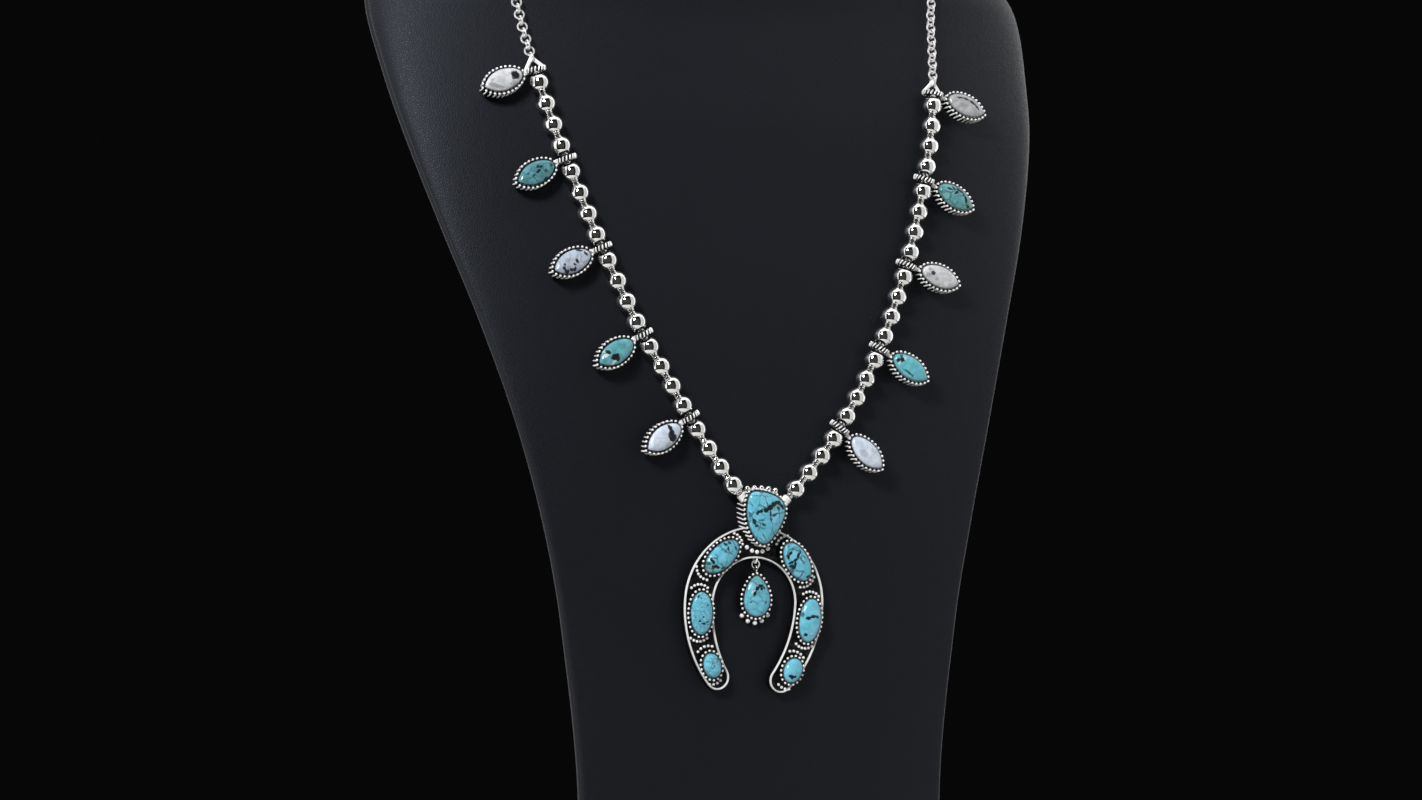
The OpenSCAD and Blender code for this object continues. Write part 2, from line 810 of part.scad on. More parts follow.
// The eye's middle lies this share of its radius under the crescent's inner edge
EYE_DROP = 0.4;
eye_y = naja_centre[1] + naja_inner_r - eye_r * EYE_DROP;
eye_z = (naja_bed_t + rim_h) / 2;

// How deep the cups start in the bed
CUP_SINK = 0.2;

module naja_cups() {
    for (k = [0:len(NAJA_STONES) - 1])
        naja_stone_place(k)
            translate([0, 0, -CUP_SINK])
                linear_extrude(naja_cup_h + CUP_SINK)
                    polygon(grow(oval(NAJA_STONES[k][2], NAJA_STONES[k][3]), cup_wall));
}

// Raindrops over and under the top cup
module shield_drops() {
    over = shield_up + shield_h / 2 + cup_wall + CROWN_DROP_OUT;
    under = shield_up - shield_h / 2 - cup_wall - SMILE_DROP_OUT;
    crown_w = (CROWN_DROPS - 1) * CROWN_DROP_STEP;
    translate([-crown_w / 2, over - CROWN_STRIP_H, naja_bed_t - CROWN_STRIP_T / 2])
        cube([crown_w, CROWN_STRIP_H, CROWN_STRIP_T]);
    for (k = [0:CROWN_DROPS - 1]) {
        x = k * CROWN_DROP_STEP - crown_w / 2;
        translate([x, over - x * x * CROWN_BOW, naja_bed_t])
            sphere(r = CROWN_DROP_R, $fn = FINE_FN);
    }
    for (k = [0:SMILE_DROPS - 1]) {
        x = (k - (SMILE_DROPS - 1) / 2) * SMILE_DROP_STEP;
        translate([x, under + x * x * SMILE_BOW, naja_bed_t])
            sphere(r = SMILE_DROP_R, $fn = FINE_FN);
    }
}

// Length of tube left undrilled at its inner end
TUBE_FLOOR = 0.5;

module naja() {
    color(DARK_SILVER)
        difference() {
            union() {
                naja_place() {
                    linear_extrude(naja_bed_t)
                        polygon(crescent(0));
                    difference() {
                        linear_extrude(naja_bed_t + rim_h)
                            polygon(crescent(0));
                        translate([0, 0, naja_bed_t / 2])
                            linear_extrude(naja_bed_t + rim_h)
                                polygon(crescent(rim_w));
                    }
                    naja_cups();
                    for (k = [0:len(NAJA_STONES) - 1])
                        naja_stone_place(k) {
                            end_drops(NAJA_STONES[k][2], NAJA_STONES[k][3], NAJA_STONES[k][5], 1);
                            end_drops(NAJA_STONES[k][2], NAJA_STONES[k][3], NAJA_STONES[k][6], -1);
                        }
                    translate([0, shield_up, 0])
                        cup(shield(), shield_cup_h);
                    shield_drops();
                    translate([0, eye_y, eye_z])
                        rotate([0, 90, 0])
                            wire_ring(eye_r, jump_wire_d);
                }
                for (side = [-1, 1])
                    on_route(side, tube_l / 2)
                        rotate([90, 0, 0])
                            cylinder(d = tube_d, h = tube_l, center = true);
            }
            for (side = [-1, 1])
                on_route(side, tube_l / 2)
                    translate([0, TUBE_FLOOR, 0])
                        rotate([90, 0, 0])
                            cylinder(d = bore_d, h = tube_l, center = true);
            for (k = [0:len(NAJA_STONES) - 1])
                naja_place()
                    naja_stone_place(k)
                        translate([0, 0, naja_cup_h - seat_depth])
                            linear_extrude(seat_depth + CUT_OVER)
                                polygon(oval(NAJA_STONES[k][2], NAJA_STONES[k][3]));
        }
}

module naja_stone(k) {
    color(TURQUOISE)
        naja_place()
            naja_stone_place(k)
                translate([0, 0, naja_cup_h - seat_depth + stone_play])
                    cabochon(oval(NAJA_STONES[k][2], NAJA_STONES[k][3]), dome_h);
}

module top_stone() {
    color(TURQUOISE)
        naja_place()
            translate([0, shield_up, shield_cup_h - seat_depth + stone_play])
                cabochon(shield(), dome_h + SHIELD_DOME);
}

// The drop hangs plumb from the naja's eye: jump ring, then the pear setting's own eye

naja_eye = [
    -naja_shift + eye_y * sin(naja_tilt),
    naja_y - eye_z,
    naja_z + eye_y * cos(naja_tilt)
];
hang_step = eye_r + jump_r - jump_wire_d - gap;
drop_up = -2 * hang_step - eye_r - cup_wall - drop_h / 2;
pear_drop_z = -drop_cup_h / 2 + PEAR_PLATE_T;

module drop_place() {
    translate(naja_eye)
        rotate([90, 0, 0])
            children();
}

module drop_link() {
    color(SILVER)
        drop_place()
            translate([0, -hang_step, 0])
                wire_ring(jump_r, jump_wire_d);
}

module drop_setting() {
    color(DARK_SILVER)
        drop_place() {
            translate([0, -2 * hang_step, 0])
                rotate([0, 90, 0])
                    wire_ring(eye_r, jump_wire_d);
            translate([0, drop_up, -drop_cup_h / 2])
                cup(pear(drop_h, drop_w), drop_cup_h);
            translate([0, drop_up, -drop_cup_h / 2])
                linear_extrude(PEAR_PLATE_T)
                    polygon(grow(pear(drop_h, drop_w), cup_wall + PEAR_PLATE_OUT));
            for (k = [0:SMILE_DROPS - 1]) {
                a = -90 + (k - (SMILE_DROPS - 1) / 2) * PEAR_DROP_ANGLE;
                out = cup_wall + PEAR_DROP_OUT;
                translate([(drop_w / 2 + out) * cos(a), drop_up + (drop_h / 2 + out) * sin(a), pear_drop_z])
                    sphere(r = SMILE_DROP_R, $fn = FINE_FN);
            }
        }
}

module drop_stone() {
    color(TURQUOISE)
        drop_place()
            translate([0, drop_up, drop_cup_h / 2 - seat_depth + stone_play])
                cabochon(pear(drop_h, drop_w), dome_h);
}

bust_form();
bust_foot();
naja();
top_stone();
for (i = [1:6])
    naja_stone(i - 1);
drop_link();
drop_setting();
drop_stone();
for (k = [0:1]) {
    side = 2 * k - 1;
    for (i = [1:SIDE_BLOSSOMS]) {
        blossom(side, i - 1);
        blossom_stone(side, i - 1);
    }
    beads(side);
    thread(side);
    chain(side);
}
clasp();
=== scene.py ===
# %% [markdown]
# # A squash blossom necklace on a neck bust
# The object is a silver bead necklace with ten pointed stone blossoms and a crescent pendant, the naja,
# hung on a plain neck bust under black leatherette.
# The measured model comes first and never moves. Every piece made here is laid exactly over the
# measured piece that it stands for, so this lesson is about surface, small relief and finish.

# %% Load the measured model
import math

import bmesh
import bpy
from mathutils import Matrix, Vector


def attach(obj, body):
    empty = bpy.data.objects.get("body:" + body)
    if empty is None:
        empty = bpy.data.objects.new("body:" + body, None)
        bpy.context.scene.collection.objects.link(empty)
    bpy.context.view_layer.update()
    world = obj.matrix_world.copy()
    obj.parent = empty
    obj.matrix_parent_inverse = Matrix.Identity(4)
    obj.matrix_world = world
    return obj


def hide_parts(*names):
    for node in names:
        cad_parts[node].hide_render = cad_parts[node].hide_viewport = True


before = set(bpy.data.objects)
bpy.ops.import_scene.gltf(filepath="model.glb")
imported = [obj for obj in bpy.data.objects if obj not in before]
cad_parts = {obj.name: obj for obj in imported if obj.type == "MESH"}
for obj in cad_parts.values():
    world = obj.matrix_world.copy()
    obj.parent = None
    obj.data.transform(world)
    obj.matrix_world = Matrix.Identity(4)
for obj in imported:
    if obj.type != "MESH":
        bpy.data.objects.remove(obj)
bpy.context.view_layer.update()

# %% [markdown]
# ## What the later cells need
# Blender counts in metres, but a jeweller thinks in millimetres. So every piece is built in
# millimetres and made a thousand times smaller only when it is put into the scene.

MM = 0.001


def cos_deg(angle):
    return math.cos(math.radians(angle))


def sin_deg(angle):
    return math.sin(math.radians(angle))


def on_circle(radius, angle):
    return radius * cos_deg(angle), radius * sin_deg(angle)


def turn_deg(angle, axis):
    return Matrix.Rotation(math.radians(angle), 4, axis)


def moved(x, y, z):
    return Matrix.Translation((x, y, z))


# %% [markdown]
# ## The camera
# The photograph was taken from a little to the left of the bust's front, level with the pendant and
# with a long lens, so that nothing looks stretched. A camera is best set first: every later choice of
# detail is judged through it.

# %% Camera
CAMERA_TURN = -25
CAMERA_AWAY = 1300
CAMERA_TARGET = Vector((-15.55, -7.0, 197.0))
CAMERA_LENS = 108.61
SENSOR_W = 36

to_camera = Vector((sin_deg(CAMERA_TURN), -cos_deg(CAMERA_TURN), 0))
to_right = Vector((cos_deg(CAMERA_TURN), sin_deg(CAMERA_TURN), 0))
camera_data = bpy.data.cameras.new("photo_camera")
camera_data.sensor_width = SENSOR_W
camera_data.lens = CAMERA_LENS
camera = bpy.data.objects.new("photo_camera", camera_data)
camera.location = (CAMERA_TARGET + to_camera * CAMERA_AWAY) * MM
camera.rotation_euler = (math.radians(90), 0, math.radians(CAMERA_TURN))
bpy.context.collection.objects.link(camera)
bpy.context.scene.camera = camera
print("camera at", [round(value, 3) for value in camera.location])

# %% [markdown]
# ## The studio
# Polished silver has hardly a colour of its own: it shows the room. The photograph's beads show what
# room that was: a pale light tent about as wide as it is high, open in front, with dark behind the
# camera and one lamp high on the left. The floor's front edge, the two side walls and the ceiling
# frame the dark middle of each bead, and the lamp puts one bright spot in it.
# So four soft panels and a round pale table make that tent here. A fifth, very dim, is the room behind
# the camera, two stand behind the bust for the thin light on its edges, and a small strong one is the lamp.

# %% Room, panels and floor
ROOM_TONE = 0.0022
FLOOR_REACH = 0.34
FLOOR_CORNERS = 72
FLOOR_TONE = (0.60, 0.59, 0.57, 1)
FLOOR_ROUGH = 0.8
PANELS = [
    # name, place, way that it shines, width, height, brightness
    ("tent_left", (-430, -60, 380), (1, 0, 0), 800, 780, 1.05),
    ("tent_right_front", (385, 110, 380), (-0.95, -0.312, 0), 340, 780, 0.62),
    ("tent_right", (440, -380, 380), (-1, 0, 0), 640, 780, 1.15),
    ("tent_top", (0, -170, 770), (0, 0, -1), 900, 860, 1.25),
    ("room_behind_camera", (0, 1600, 500), (0, -1, 0), 2600, 2000, 0.045),
    ("back_left", (-860, -1060, 420), (0.35, 1, 0), 800, 1300, 0.8),
    ("back_right", (860, -1060, 420), (-0.35, 1, 0), 800, 1300, 1.25),
    ("lamp", (-345, 853, 745), (0.322, -0.797, -0.512), 220, 220, 78),
]

scene = bpy.context.scene
scene.view_settings.view_transform = "Standard"
room = bpy.data.worlds.new("dark_room")
room.use_nodes = True
air = room.node_tree.nodes["Background"].inputs
air["Color"].default_value = (ROOM_TONE, ROOM_TONE, ROOM_TONE, 1)
air["Strength"].default_value = 1
scene.world = room


def panel(name, spot, face, width, tall, glow):
    """A soft light. Its spot is counted in millimetres to the camera's right, towards the camera
    and up from the floor; face is the way it shines, counted the same way; glow is its brightness."""
    light = bpy.data.lights.new(name, "AREA")
    light.shape = "RECTANGLE"
    light.size = width * MM
    light.size_y = tall * MM
    light.energy = glow * math.pi * light.size * light.size_y
    lamp = bpy.data.objects.new(name, light)
    place = CAMERA_TARGET + to_right * spot[0] + to_camera * spot[1]
    lamp.location = Vector((place.x, place.y, spot[2])) * MM
    way = to_right * face[0] + to_camera * face[1] + Vector((0, 0, face[2]))
    lamp.rotation_euler = way.to_track_quat("-Z", "Y").to_euler()
    lamp.visible_camera = False
    bpy.context.collection.objects.link(lamp)


for row in PANELS:
    panel(*row)

floor_mesh = bpy.data.meshes.new("floor")
floor_step = 360 / FLOOR_CORNERS
corners = [on_circle(FLOOR_REACH, floor_step * k) for k in range(FLOOR_CORNERS)]
floor_mesh.from_pydata([(x, y, 0) for x, y in corners], [], [tuple(range(FLOOR_CORNERS))])
floor_finish = bpy.data.materials.new("floor_paper")
floor_finish.use_nodes = True
paper = floor_finish.node_tree.nodes["Principled BSDF"].inputs
paper["Base Color"].default_value = FLOOR_TONE
paper["Roughness"].default_value = FLOOR_ROUGH
floor_mesh.materials.append(floor_finish)
floor = bpy.data.objects.new("floor", floor_mesh)
bpy.context.collection.objects.link(floor)
print("lights:", [row[0] for row in PANELS])

# %% [markdown]
# ## The bust's form as a rule
# The form under the leatherette is a table of sections. Each row says, as shares of a few named
# sizes, how wide the form is at a height, how far its edge leans back and how full it is in front
# and behind. A smooth curve through each column gives the form at any height, so the skin here can
# be much finer than the measured one and still be the same form.

# %% Sizes and sections of the form
FORM_H = 390
FORM_W = 224
FORM_LEAN = 64
NECK_FRONT = 40
FORM_BACK = 44
EDGE_T = 3
FOOT_W = 160
FOOT_D = 124
FOOT_T = 12
FOOT_R = 18
FOOT_BACK = 12
EDGE_ANGLE = 4
FORM_ROWS = [
    # height, width, set back, crown, back, power
    [0.000, 0.560, 0.000, 0.075, 0.90, 2.0],
    [0.164, 0.541, 0.000, 0.075, 0.90, 2.0],
    [0.303, 0.592, 0.000, 0.075, 0.92, 2.0],
    [0.379, 0.642, 0.004, 0.078, 0.94, 2.0],
    [0.456, 0.710, 0.045, 0.095, 0.96, 2.0],
    [0.533, 0.791, 0.139, 0.165, 0.99, 2.0],
    [0.610, 0.880, 0.268, 0.262, 1.00, 2.0],
    [0.687, 0.955, 0.431, 0.410, 1.00, 2.0],
    [0.738, 0.985, 0.574, 0.530, 0.98, 2.0],
    [0.779, 0.998, 0.690, 0.630, 0.96, 1.9],
    [0.803, 0.980, 0.745, 0.700, 0.94, 1.8],
    [0.825, 0.915, 0.790, 0.765, 0.92, 1.6],
    [0.843, 0.815, 0.826, 0.825, 0.90, 1.45],
    [0.861, 0.695, 0.858, 0.878, 0.87, 1.3],
    [0.880, 0.580, 0.888, 0.925, 0.84, 1.15],
    [0.901, 0.490, 0.916, 0.962, 0.81, 1.0],
    [0.928, 0.432, 0.947, 0.988, 0.79, 1.0],
    [1.000, 0.405, 1.000, 1.000, 0.76, 1.0],
]


def row_before(rows, at):
    """The last row whose first value lies at or below the one asked for."""
    found = 0
    while found < len(rows) - 2 and at >= rows[found + 1][0]:
        found += 1
    return found


def slope(rows, i, col):
    a = max(i - 1, 0)
    b = min(i + 1, len(rows) - 1)
    return (rows[b][col] - rows[a][col]) / (rows[b][0] - rows[a][0])


def smooth(rows, at, col):
    """A smooth curve through one column of a table."""
    i = row_before(rows, at)
    width = rows[i + 1][0] - rows[i][0]
    t = (at - rows[i][0]) / width
    a = rows[i][col]
    b = rows[i + 1][col]
    bend = (1 - t) * slope(rows, i, col) - t * slope(rows, i + 1, col)
    return a * (1 + 2 * t) * (1 - t) ** 2 + b * t * t * (3 - 2 * t) + width * t * (1 - t) * bend


def form_value(height, col, size):
    return smooth(FORM_ROWS, (height - FOOT_T) / FORM_H, col) * size


def form_at(height, angle):
    """The place on the form's skin at a height, at an angle from the middle of its front."""
    side = -1 if angle < 0 else 1
    turn = abs(angle)
    limit = 90 - EDGE_ANGLE
    front = turn * 90 / limit
    behind = 90 + (turn - 90 - EDGE_ANGLE) * 90 / limit
    half = form_value(height, 1, FORM_W / 2)
    edge = form_value(height, 2, FORM_LEAN) - FOOT_BACK
    if turn <= limit:
        crown = form_value(height, 3, NECK_FRONT)
        return Vector((side * half * sin_deg(front), edge - crown * cos_deg(front), height))
    if turn < 90 + EDGE_ANGLE:
        return Vector((side * half, edge + EDGE_T * (turn - limit) / (2 * EDGE_ANGLE), height))
    depth = form_value(height, 4, FORM_BACK) * abs(cos_deg(behind)) ** form_value(height, 5, 1)
    return Vector((side * half * sin_deg(behind), edge + EDGE_T + depth, height))


def form_normal(height, angle, step=0.5):
    """Which way the skin faces there, from a small step each way."""
    across = form_at(height, angle + step) - form_at(height, angle - step)
    along_up = form_at(height + step, angle) - form_at(height - step, angle)
    return across.cross(along_up).normalized()


print("form at the pendant:", [round(value, 1) for value in form_at(168, 0)])

# %% [markdown]
# ## The way the necklace lies
# A hung necklace follows the form: up both sides from the pendant, round the neck and together
# behind it. A few points by height and angle describe that way. From them comes a table of lengths,
# so that "the place 40 mm along the strand" can be asked for, with the direction of the strand and
# the direction out of the bust. Every bead, ring and link is set by such a place.

# %% Route of the strands and the chain
RING_D = 7
REST_GAP = 0.35
ROUTE_STEPS = 10
ROUTE = [
    # height, angle, drift, lift, rise
    [166.0, 4.6, 2.4, 1, 0.6],
    [171.0, 8.0, 2.2, 1, 0.6],
    [178.0, 12.0, 1.7, 1, 0.65],
    [187.0, 16.4, 1.1, 1, 0.7],
    [203.0, 22.4, 0.6, 1, 0.7],
    [219.0, 27.0, 0.5, 1, 0.6],
    [240.0, 30.8, 0.5, 1, 0.5],
    [263.0, 33.4, 0.7, 1, 0.4],
    [282.0, 35.0, 1.0, 1, 0.2],
    [296.0, 35.9, 1.1, 1, 0.1],
    [306.0, 36.4, 1.1, 0.8, 0],
    [319.0, 37.3, 1.0, 0.56, 0],
    [333.0, 40.4, 0.7, 0.56, 0],
    [345.0, 48.0, 0.3, 0.56, 0],
    [355.0, 61.5, 0.0, 0.56, 0],
    [361.0, 81.0, 0.0, 0.56, 0],
    [363.5, 108.0, 0.0, 0.56, 0],
    [364.5, 142.0, 0.0, 0.56, 0],
    [364.5, 180.0, 0.0, 0.56, 0],
]


def between_four(a, b, c, d, t):
    """A smooth curve from b to c that also looks at its neighbours a and d."""
    bend = (2 * a - 5 * b + 4 * c - d) * t * t + (3 * b - a - 3 * c + d) * t ** 3
    return 0.5 * (2 * b + (c - a) * t + bend)


def route_value(u, col):
    last_row = len(ROUTE) - 1
    i = min(math.floor(u), last_row - 1)
    rows = [ROUTE[max(i - 1, 0)], ROUTE[i], ROUTE[i + 1], ROUTE[min(i + 2, last_row)]]
    return between_four(*[row[col] for row in rows], u - i)


def route_table(side):
    """Length so far, height, angle and place, all the way to the middle of the back."""
    table = []
    length = 0
    for step in range((len(ROUTE) - 1) * ROUTE_STEPS + 1):
        u = step / ROUTE_STEPS
        height = route_value(u, 0) - side * route_value(u, 4)
        angle = side * route_value(u, 1) - route_value(u, 2)
        lift = route_value(u, 3) * RING_D / 2 + REST_GAP
        place = form_at(height, angle) + form_normal(height, angle) * lift
        if table:
            length += (place - table[-1][3]).length
        table.append([length, height, angle, place])
    return table


ROUTES = {side: route_table(side) for side in (-1, 1)}


def along(side, s, col=3):
    table = ROUTES[side]
    i = row_before(table, s)
    t = (s - table[i][0]) / (table[i + 1][0] - table[i][0])
    return table[i][col] + (table[i + 1][col] - table[i][col]) * t


def heading(side, s):
    return (along(side, s + 1) - along(side, s - 1)).normalized()


def on_route(side, s):
    """A place on the route: X square to it, Y along it and Z out of the bust."""
    y = heading(side, s)
    normal = form_normal(along(side, s, 1), along(side, s, 2))
    z = (normal - y * normal.dot(y)).normalized()
    x = y.cross(z)
    return Matrix.Translation(along(side, s)) @ Matrix((x, y, z)).transposed().to_4x4()


print("length of each side:", [round(ROUTES[side][-1][0], 1) for side in (-1, 1)])

# %% [markdown]
# ## Helpers for node trees and meshes
# A node tree, whether it makes a shape or a finish, is a list of nodes with values and links. One
# short helper adds a node, sets its options and fills its sockets, with a number or with the output
# of another node. A second one runs a Geometry Nodes tree over a small base mesh and keeps the
# result as a plain mesh, because instances and modifiers don't travel to other programs.

# %% Node and mesh helpers


def add(tree, kind, values=None, **options):
    """Adds a node; values go by socket name or number and may be another node's socket."""
    node = tree.nodes.new(kind)
    for key, value in options.items():
        setattr(node, key, value)
    for key, value in (values or {}).items():
        if isinstance(value, bpy.types.NodeSocket):
            tree.links.new(value, node.inputs[key])
        else:
            node.inputs[key].default_value = value
    return node


def shape_tree(name, sizes):
    """A Geometry Nodes tree with a geometry and a material, and the sizes by name."""
    tree = bpy.data.node_groups.new(name, "GeometryNodeTree")
    tree.interface.new_socket("Geometry", in_out="INPUT", socket_type="NodeSocketGeometry")
    tree.interface.new_socket("Material", in_out="INPUT", socket_type="NodeSocketMaterial")
    for size in sizes:
        tree.interface.new_socket(size, in_out="INPUT", socket_type="NodeSocketFloat")
    tree.interface.new_socket("Geometry", in_out="OUTPUT", socket_type="NodeSocketGeometry")
    return tree, tree.nodes.new("NodeGroupInput").outputs


def end_tree(tree, given, geometry):
    """The last steps of every tree: real geometry, smooth shading and its material."""
    real = add(tree, "GeometryNodeRealizeInstances", {"Geometry": geometry})
    soft = add(tree, "GeometryNodeSetShadeSmooth", {"Geometry": real.outputs[0]})
    dressed = add(tree, "GeometryNodeSetMaterial", {
        "Geometry": soft.outputs[0], "Material": given["Material"],
    })
    add(tree, "NodeGroupOutput", {"Geometry": dressed.outputs[0]})


def run_tree(tree, base, material, place=None, **sizes):
    """The plain mesh that a tree makes of a base mesh, laid at its place."""
    worker = bpy.data.objects.new("worker", base)
    bpy.context.collection.objects.link(worker)
    step = worker.modifiers.new("step", "NODES")
    step.node_group = tree
    given = dict(sizes, Material=material)
    for item in tree.interface.items_tree:
        if item.in_out == "INPUT" and item.name in given:
            step[item.identifier] = given[item.name]
    graph = bpy.context.evaluated_depsgraph_get()
    result = bpy.data.meshes.new_from_object(worker.evaluated_get(graph), depsgraph=graph)
    worker.modifiers.remove(step)
    bpy.data.objects.remove(worker)
    if place is not None:
        result.transform(place)
    return result


def mesh_of(points, faces, material, place=None):
    mesh = bpy.data.meshes.new("shape")
    mesh.from_pydata([tuple(point) for point in points], [], faces)
    mesh.materials.append(material)
    mesh.polygons.foreach_set("use_smooth", [True] * len(mesh.polygons))
    if place is not None:
        mesh.transform(place)
    return mesh


def outline_mesh(points, height=0):
    """A closed line of edges, the base that most trees follow."""
    mesh = bpy.data.meshes.new("outline")
    count = len(points)
    mesh.from_pydata([(p[0], p[1], height) for p in points], [(i, (i + 1) % count) for i in range(count)], [])
    return mesh


def points_mesh(places):
    """Loose points that carry their turn, for trees that set one shape on each."""
    mesh = bpy.data.meshes.new("places")
    mesh.from_pydata([place.translation for place in places], [], [])
    turns = mesh.attributes.new("turn", "QUATERNION", "POINT")
    turns.data.foreach_set("value", [value for place in places for value in place.to_quaternion()])
    return mesh


def loft(rings, material, place=None, closed_ends=True):
    """A skin over rings of equally many points, each anticlockwise from its last end."""
    count = len(rings[0])
    points = [point for ring in rings for point in ring]
    faces = []
    for j in range(len(rings) - 1):
        for i in range(count):
            k = (i + 1) % count
            faces.append((j * count + i, j * count + k, (j + 1) * count + k, (j + 1) * count + i))
    if closed_ends:
        faces.append(tuple(range(count - 1, -1, -1)))
        faces.append(tuple((len(rings) - 1) * count + i for i in range(count)))
    return mesh_of(points, faces, material, place)


def lathe(profile, steps, material, place=None):
    """A turned shape about Z: profile is a closed list of radius and height."""
    points = []
    for radius, height in profile:
        for k in range(steps):
            points.append((*on_circle(radius, 360 * k / steps), height))
    faces = []
    for j in range(len(profile)):
        n = (j + 1) % len(profile)
        for i in range(steps):
            k = (i + 1) % steps
            faces.append((j * steps + i, j * steps + k, n * steps + k, n * steps + i))
    return mesh_of(points, faces, material, place)


def join(meshes):
    """One mesh from several, each face with the material that it had."""
    whole = bmesh.new()
    materials = []
    for mesh in meshes:
        slots = []
        for material in mesh.materials:
            if material not in materials:
                materials.append(material)
            slots.append(materials.index(material))
        start = len(whole.faces)
        whole.from_mesh(mesh)
        whole.faces.ensure_lookup_table()
        for face in whole.faces[start:]:
            face.material_index = slots[face.material_index]
        bpy.data.meshes.remove(mesh)
    joined = bpy.data.meshes.new("joined")
    whole.to_mesh(joined)
    whole.free()
    for material in materials:
        joined.materials.append(material)
    return joined


def put_in(name, meshes, node, crease=40):
    """A finished piece in the scene, in metres, in place of a measured one."""
    mesh = join(meshes) if len(meshes) > 1 else meshes[0]
    mesh.name = name
    mesh.transform(Matrix.Scale(MM, 4))
    mesh.set_sharp_from_angle(angle=math.radians(crease))
    piece = bpy.data.objects.new(name, mesh)
    bpy.context.collection.objects.link(piece)
    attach(piece, "root")
    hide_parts(node)
    print(name, "faces:", len(mesh.polygons))
    return piece


# %% [markdown]
# ## The leatherette
# The bust is covered with a fine grained, nearly black leatherette: little raised cells with soft
# furrows between them, a faint sheen, and a slightly smoother skin on the crests.
# A photograph of leather would repeat and blur. Cells from a Voronoi pattern with a soft noise under
# them give the grain at its real size, about two thirds of a millimetre, on any shape and at any
# distance.
# The cell also holds the small helpers that every finish uses, so that its recipe reads in a few lines.

# %% Leatherette finish
LEATHER_CELLS = 1500.0
LEATHER_FOLDS = 420.0
LEATHER_CLOUDS = 14.0
LEATHER_RELIEF = 0.00009
LEATHER_SHEEN = 0.24
LEATHER_TINT = (0.78, 0.86, 1.0, 1)
CREST_HEIGHT = 0.35
CREST_ROUGH = 0.43
FURROW_ROUGH = 0.62
LEATHER_BUMP = 0.45


def finish(name):
    """An empty material with one Principled shader on its output."""
    material = bpy.data.materials.new(name)
    material.use_nodes = True
    tree = material.node_tree
    tree.nodes.clear()
    shader = tree.nodes.new("ShaderNodeBsdfPrincipled")
    add(tree, "ShaderNodeOutputMaterial", {"Surface": shader.outputs[0]})
    return material, tree, shader


def object_place(tree):
    return tree.nodes.new("ShaderNodeTexCoord").outputs["Object"]


def noise(tree, where, scale, detail, rough=0.5):
    """Soft clouds, as a number named Fac and as a colour."""
    return add(tree, "ShaderNodeTexNoise", {
        "Vector": where, "Scale": scale, "Detail": detail, "Roughness": rough,
    }).outputs


def ranged(tree, value, start, end, low=0.0, high=1.0, **options):
    """Gives start where the value is low and end where it is high."""
    return add(tree, "ShaderNodeMapRange", {
        "Value": value, "From Min": low, "From Max": high, "To Min": start, "To Max": end,
    }, **options).outputs[0]


def edge_distance(tree, where, scale):
    """How far a place is from the edge of its cell."""
    return add(tree, "ShaderNodeTexVoronoi", {
        "Vector": where, "Scale": scale,
    }, feature="DISTANCE_TO_EDGE").outputs["Distance"]


def reckon(tree, work, first, second):
    return add(tree, "ShaderNodeMath", {0: first, 1: second}, operation=work).outputs[0]


def mixed(tree, share, first, second):
    """A colour from the first, where share is 0, to the second, where it is 1."""
    return add(tree, "ShaderNodeMix", {0: share, 6: first, 7: second}, data_type="RGBA").outputs[2]


def dress(tree, shader, color, rough, height, strength, depth, sunk=False):
    """Feeds the shader its colour, its roughness and a relief, depth metres high."""
    bump = add(tree, "ShaderNodeBump", {
        "Height": height, "Strength": strength, "Distance": depth,
    }, invert=sunk)
    for name, socket in (("Base Color", color), ("Roughness", rough), ("Normal", bump.outputs[0])):
        tree.links.new(socket, shader.inputs[name])


def leatherette(name, dark, pale):
    material, tree, shader = finish(name)
    where = object_place(tree)
    cells = edge_distance(tree, where, LEATHER_CELLS)
    folds = noise(tree, where, LEATHER_FOLDS, 4.0)["Fac"]
    clouds = noise(tree, where, LEATHER_CLOUDS, 3.0)["Fac"]
    crest = ranged(tree, cells, 0.0, 1.0, 0.0, CREST_HEIGHT)
    height = reckon(tree, "ADD", crest, folds)
    rough = ranged(tree, crest, FURROW_ROUGH, CREST_ROUGH)
    dress(tree, shader, mixed(tree, clouds, dark, pale), rough, height, LEATHER_BUMP, LEATHER_RELIEF)
    shader.inputs["Specular IOR Level"].default_value = LEATHER_SHEEN
    shader.inputs["Specular Tint"].default_value = LEATHER_TINT
    return material


LEATHER = leatherette("black_leatherette", (0.0034, 0.0037, 0.0054, 1), (0.0056, 0.0061, 0.0083, 1))
print("finish:", LEATHER.name)

# %% [markdown]
# ## The bust's skin
# The front of such a bust is one padded panel, the back another, and a narrow folded strip joins
# them all the way round. The two seams show as fine lines with a thin shine beside them.
# The skin is laid row by row from the form's rule. It is pulled in a little at the two seams, and
# the neck's top is rounded over as the covering folds there.

# %% Bust skin
SKIN_STEP = 2.5
SEAM_DEPTH = 0.55
SEAM_WIDTH = 0.7
TOP_ROUND = 4
TOP_RINGS = 6
TOP_SHARES = (0.8, 0.5, 0.2)
FRONT_STEPS = 44
STRIP_STEPS = 6
BACK_STEPS = 36
CROWDING = 1.35
BACK_LIMIT = 179.4
SKIN_CREASE = 60


def ring_angles():
    """Angles round the form: wide steps on the panels and narrow ones near the folded edge."""
    limit = 90 - EDGE_ANGLE
    half = [limit * (1 - (1 - k / FRONT_STEPS) ** CROWDING) for k in range(FRONT_STEPS + 1)]
    strip = [limit + 2 * EDGE_ANGLE * k / STRIP_STEPS for k in range(1, STRIP_STEPS)]
    back = [90 + EDGE_ANGLE + limit * (k / BACK_STEPS) ** CROWDING for k in range(BACK_STEPS)]
    right = half + strip + back
    return [-angle for angle in reversed(right[1:])] + right + [180]


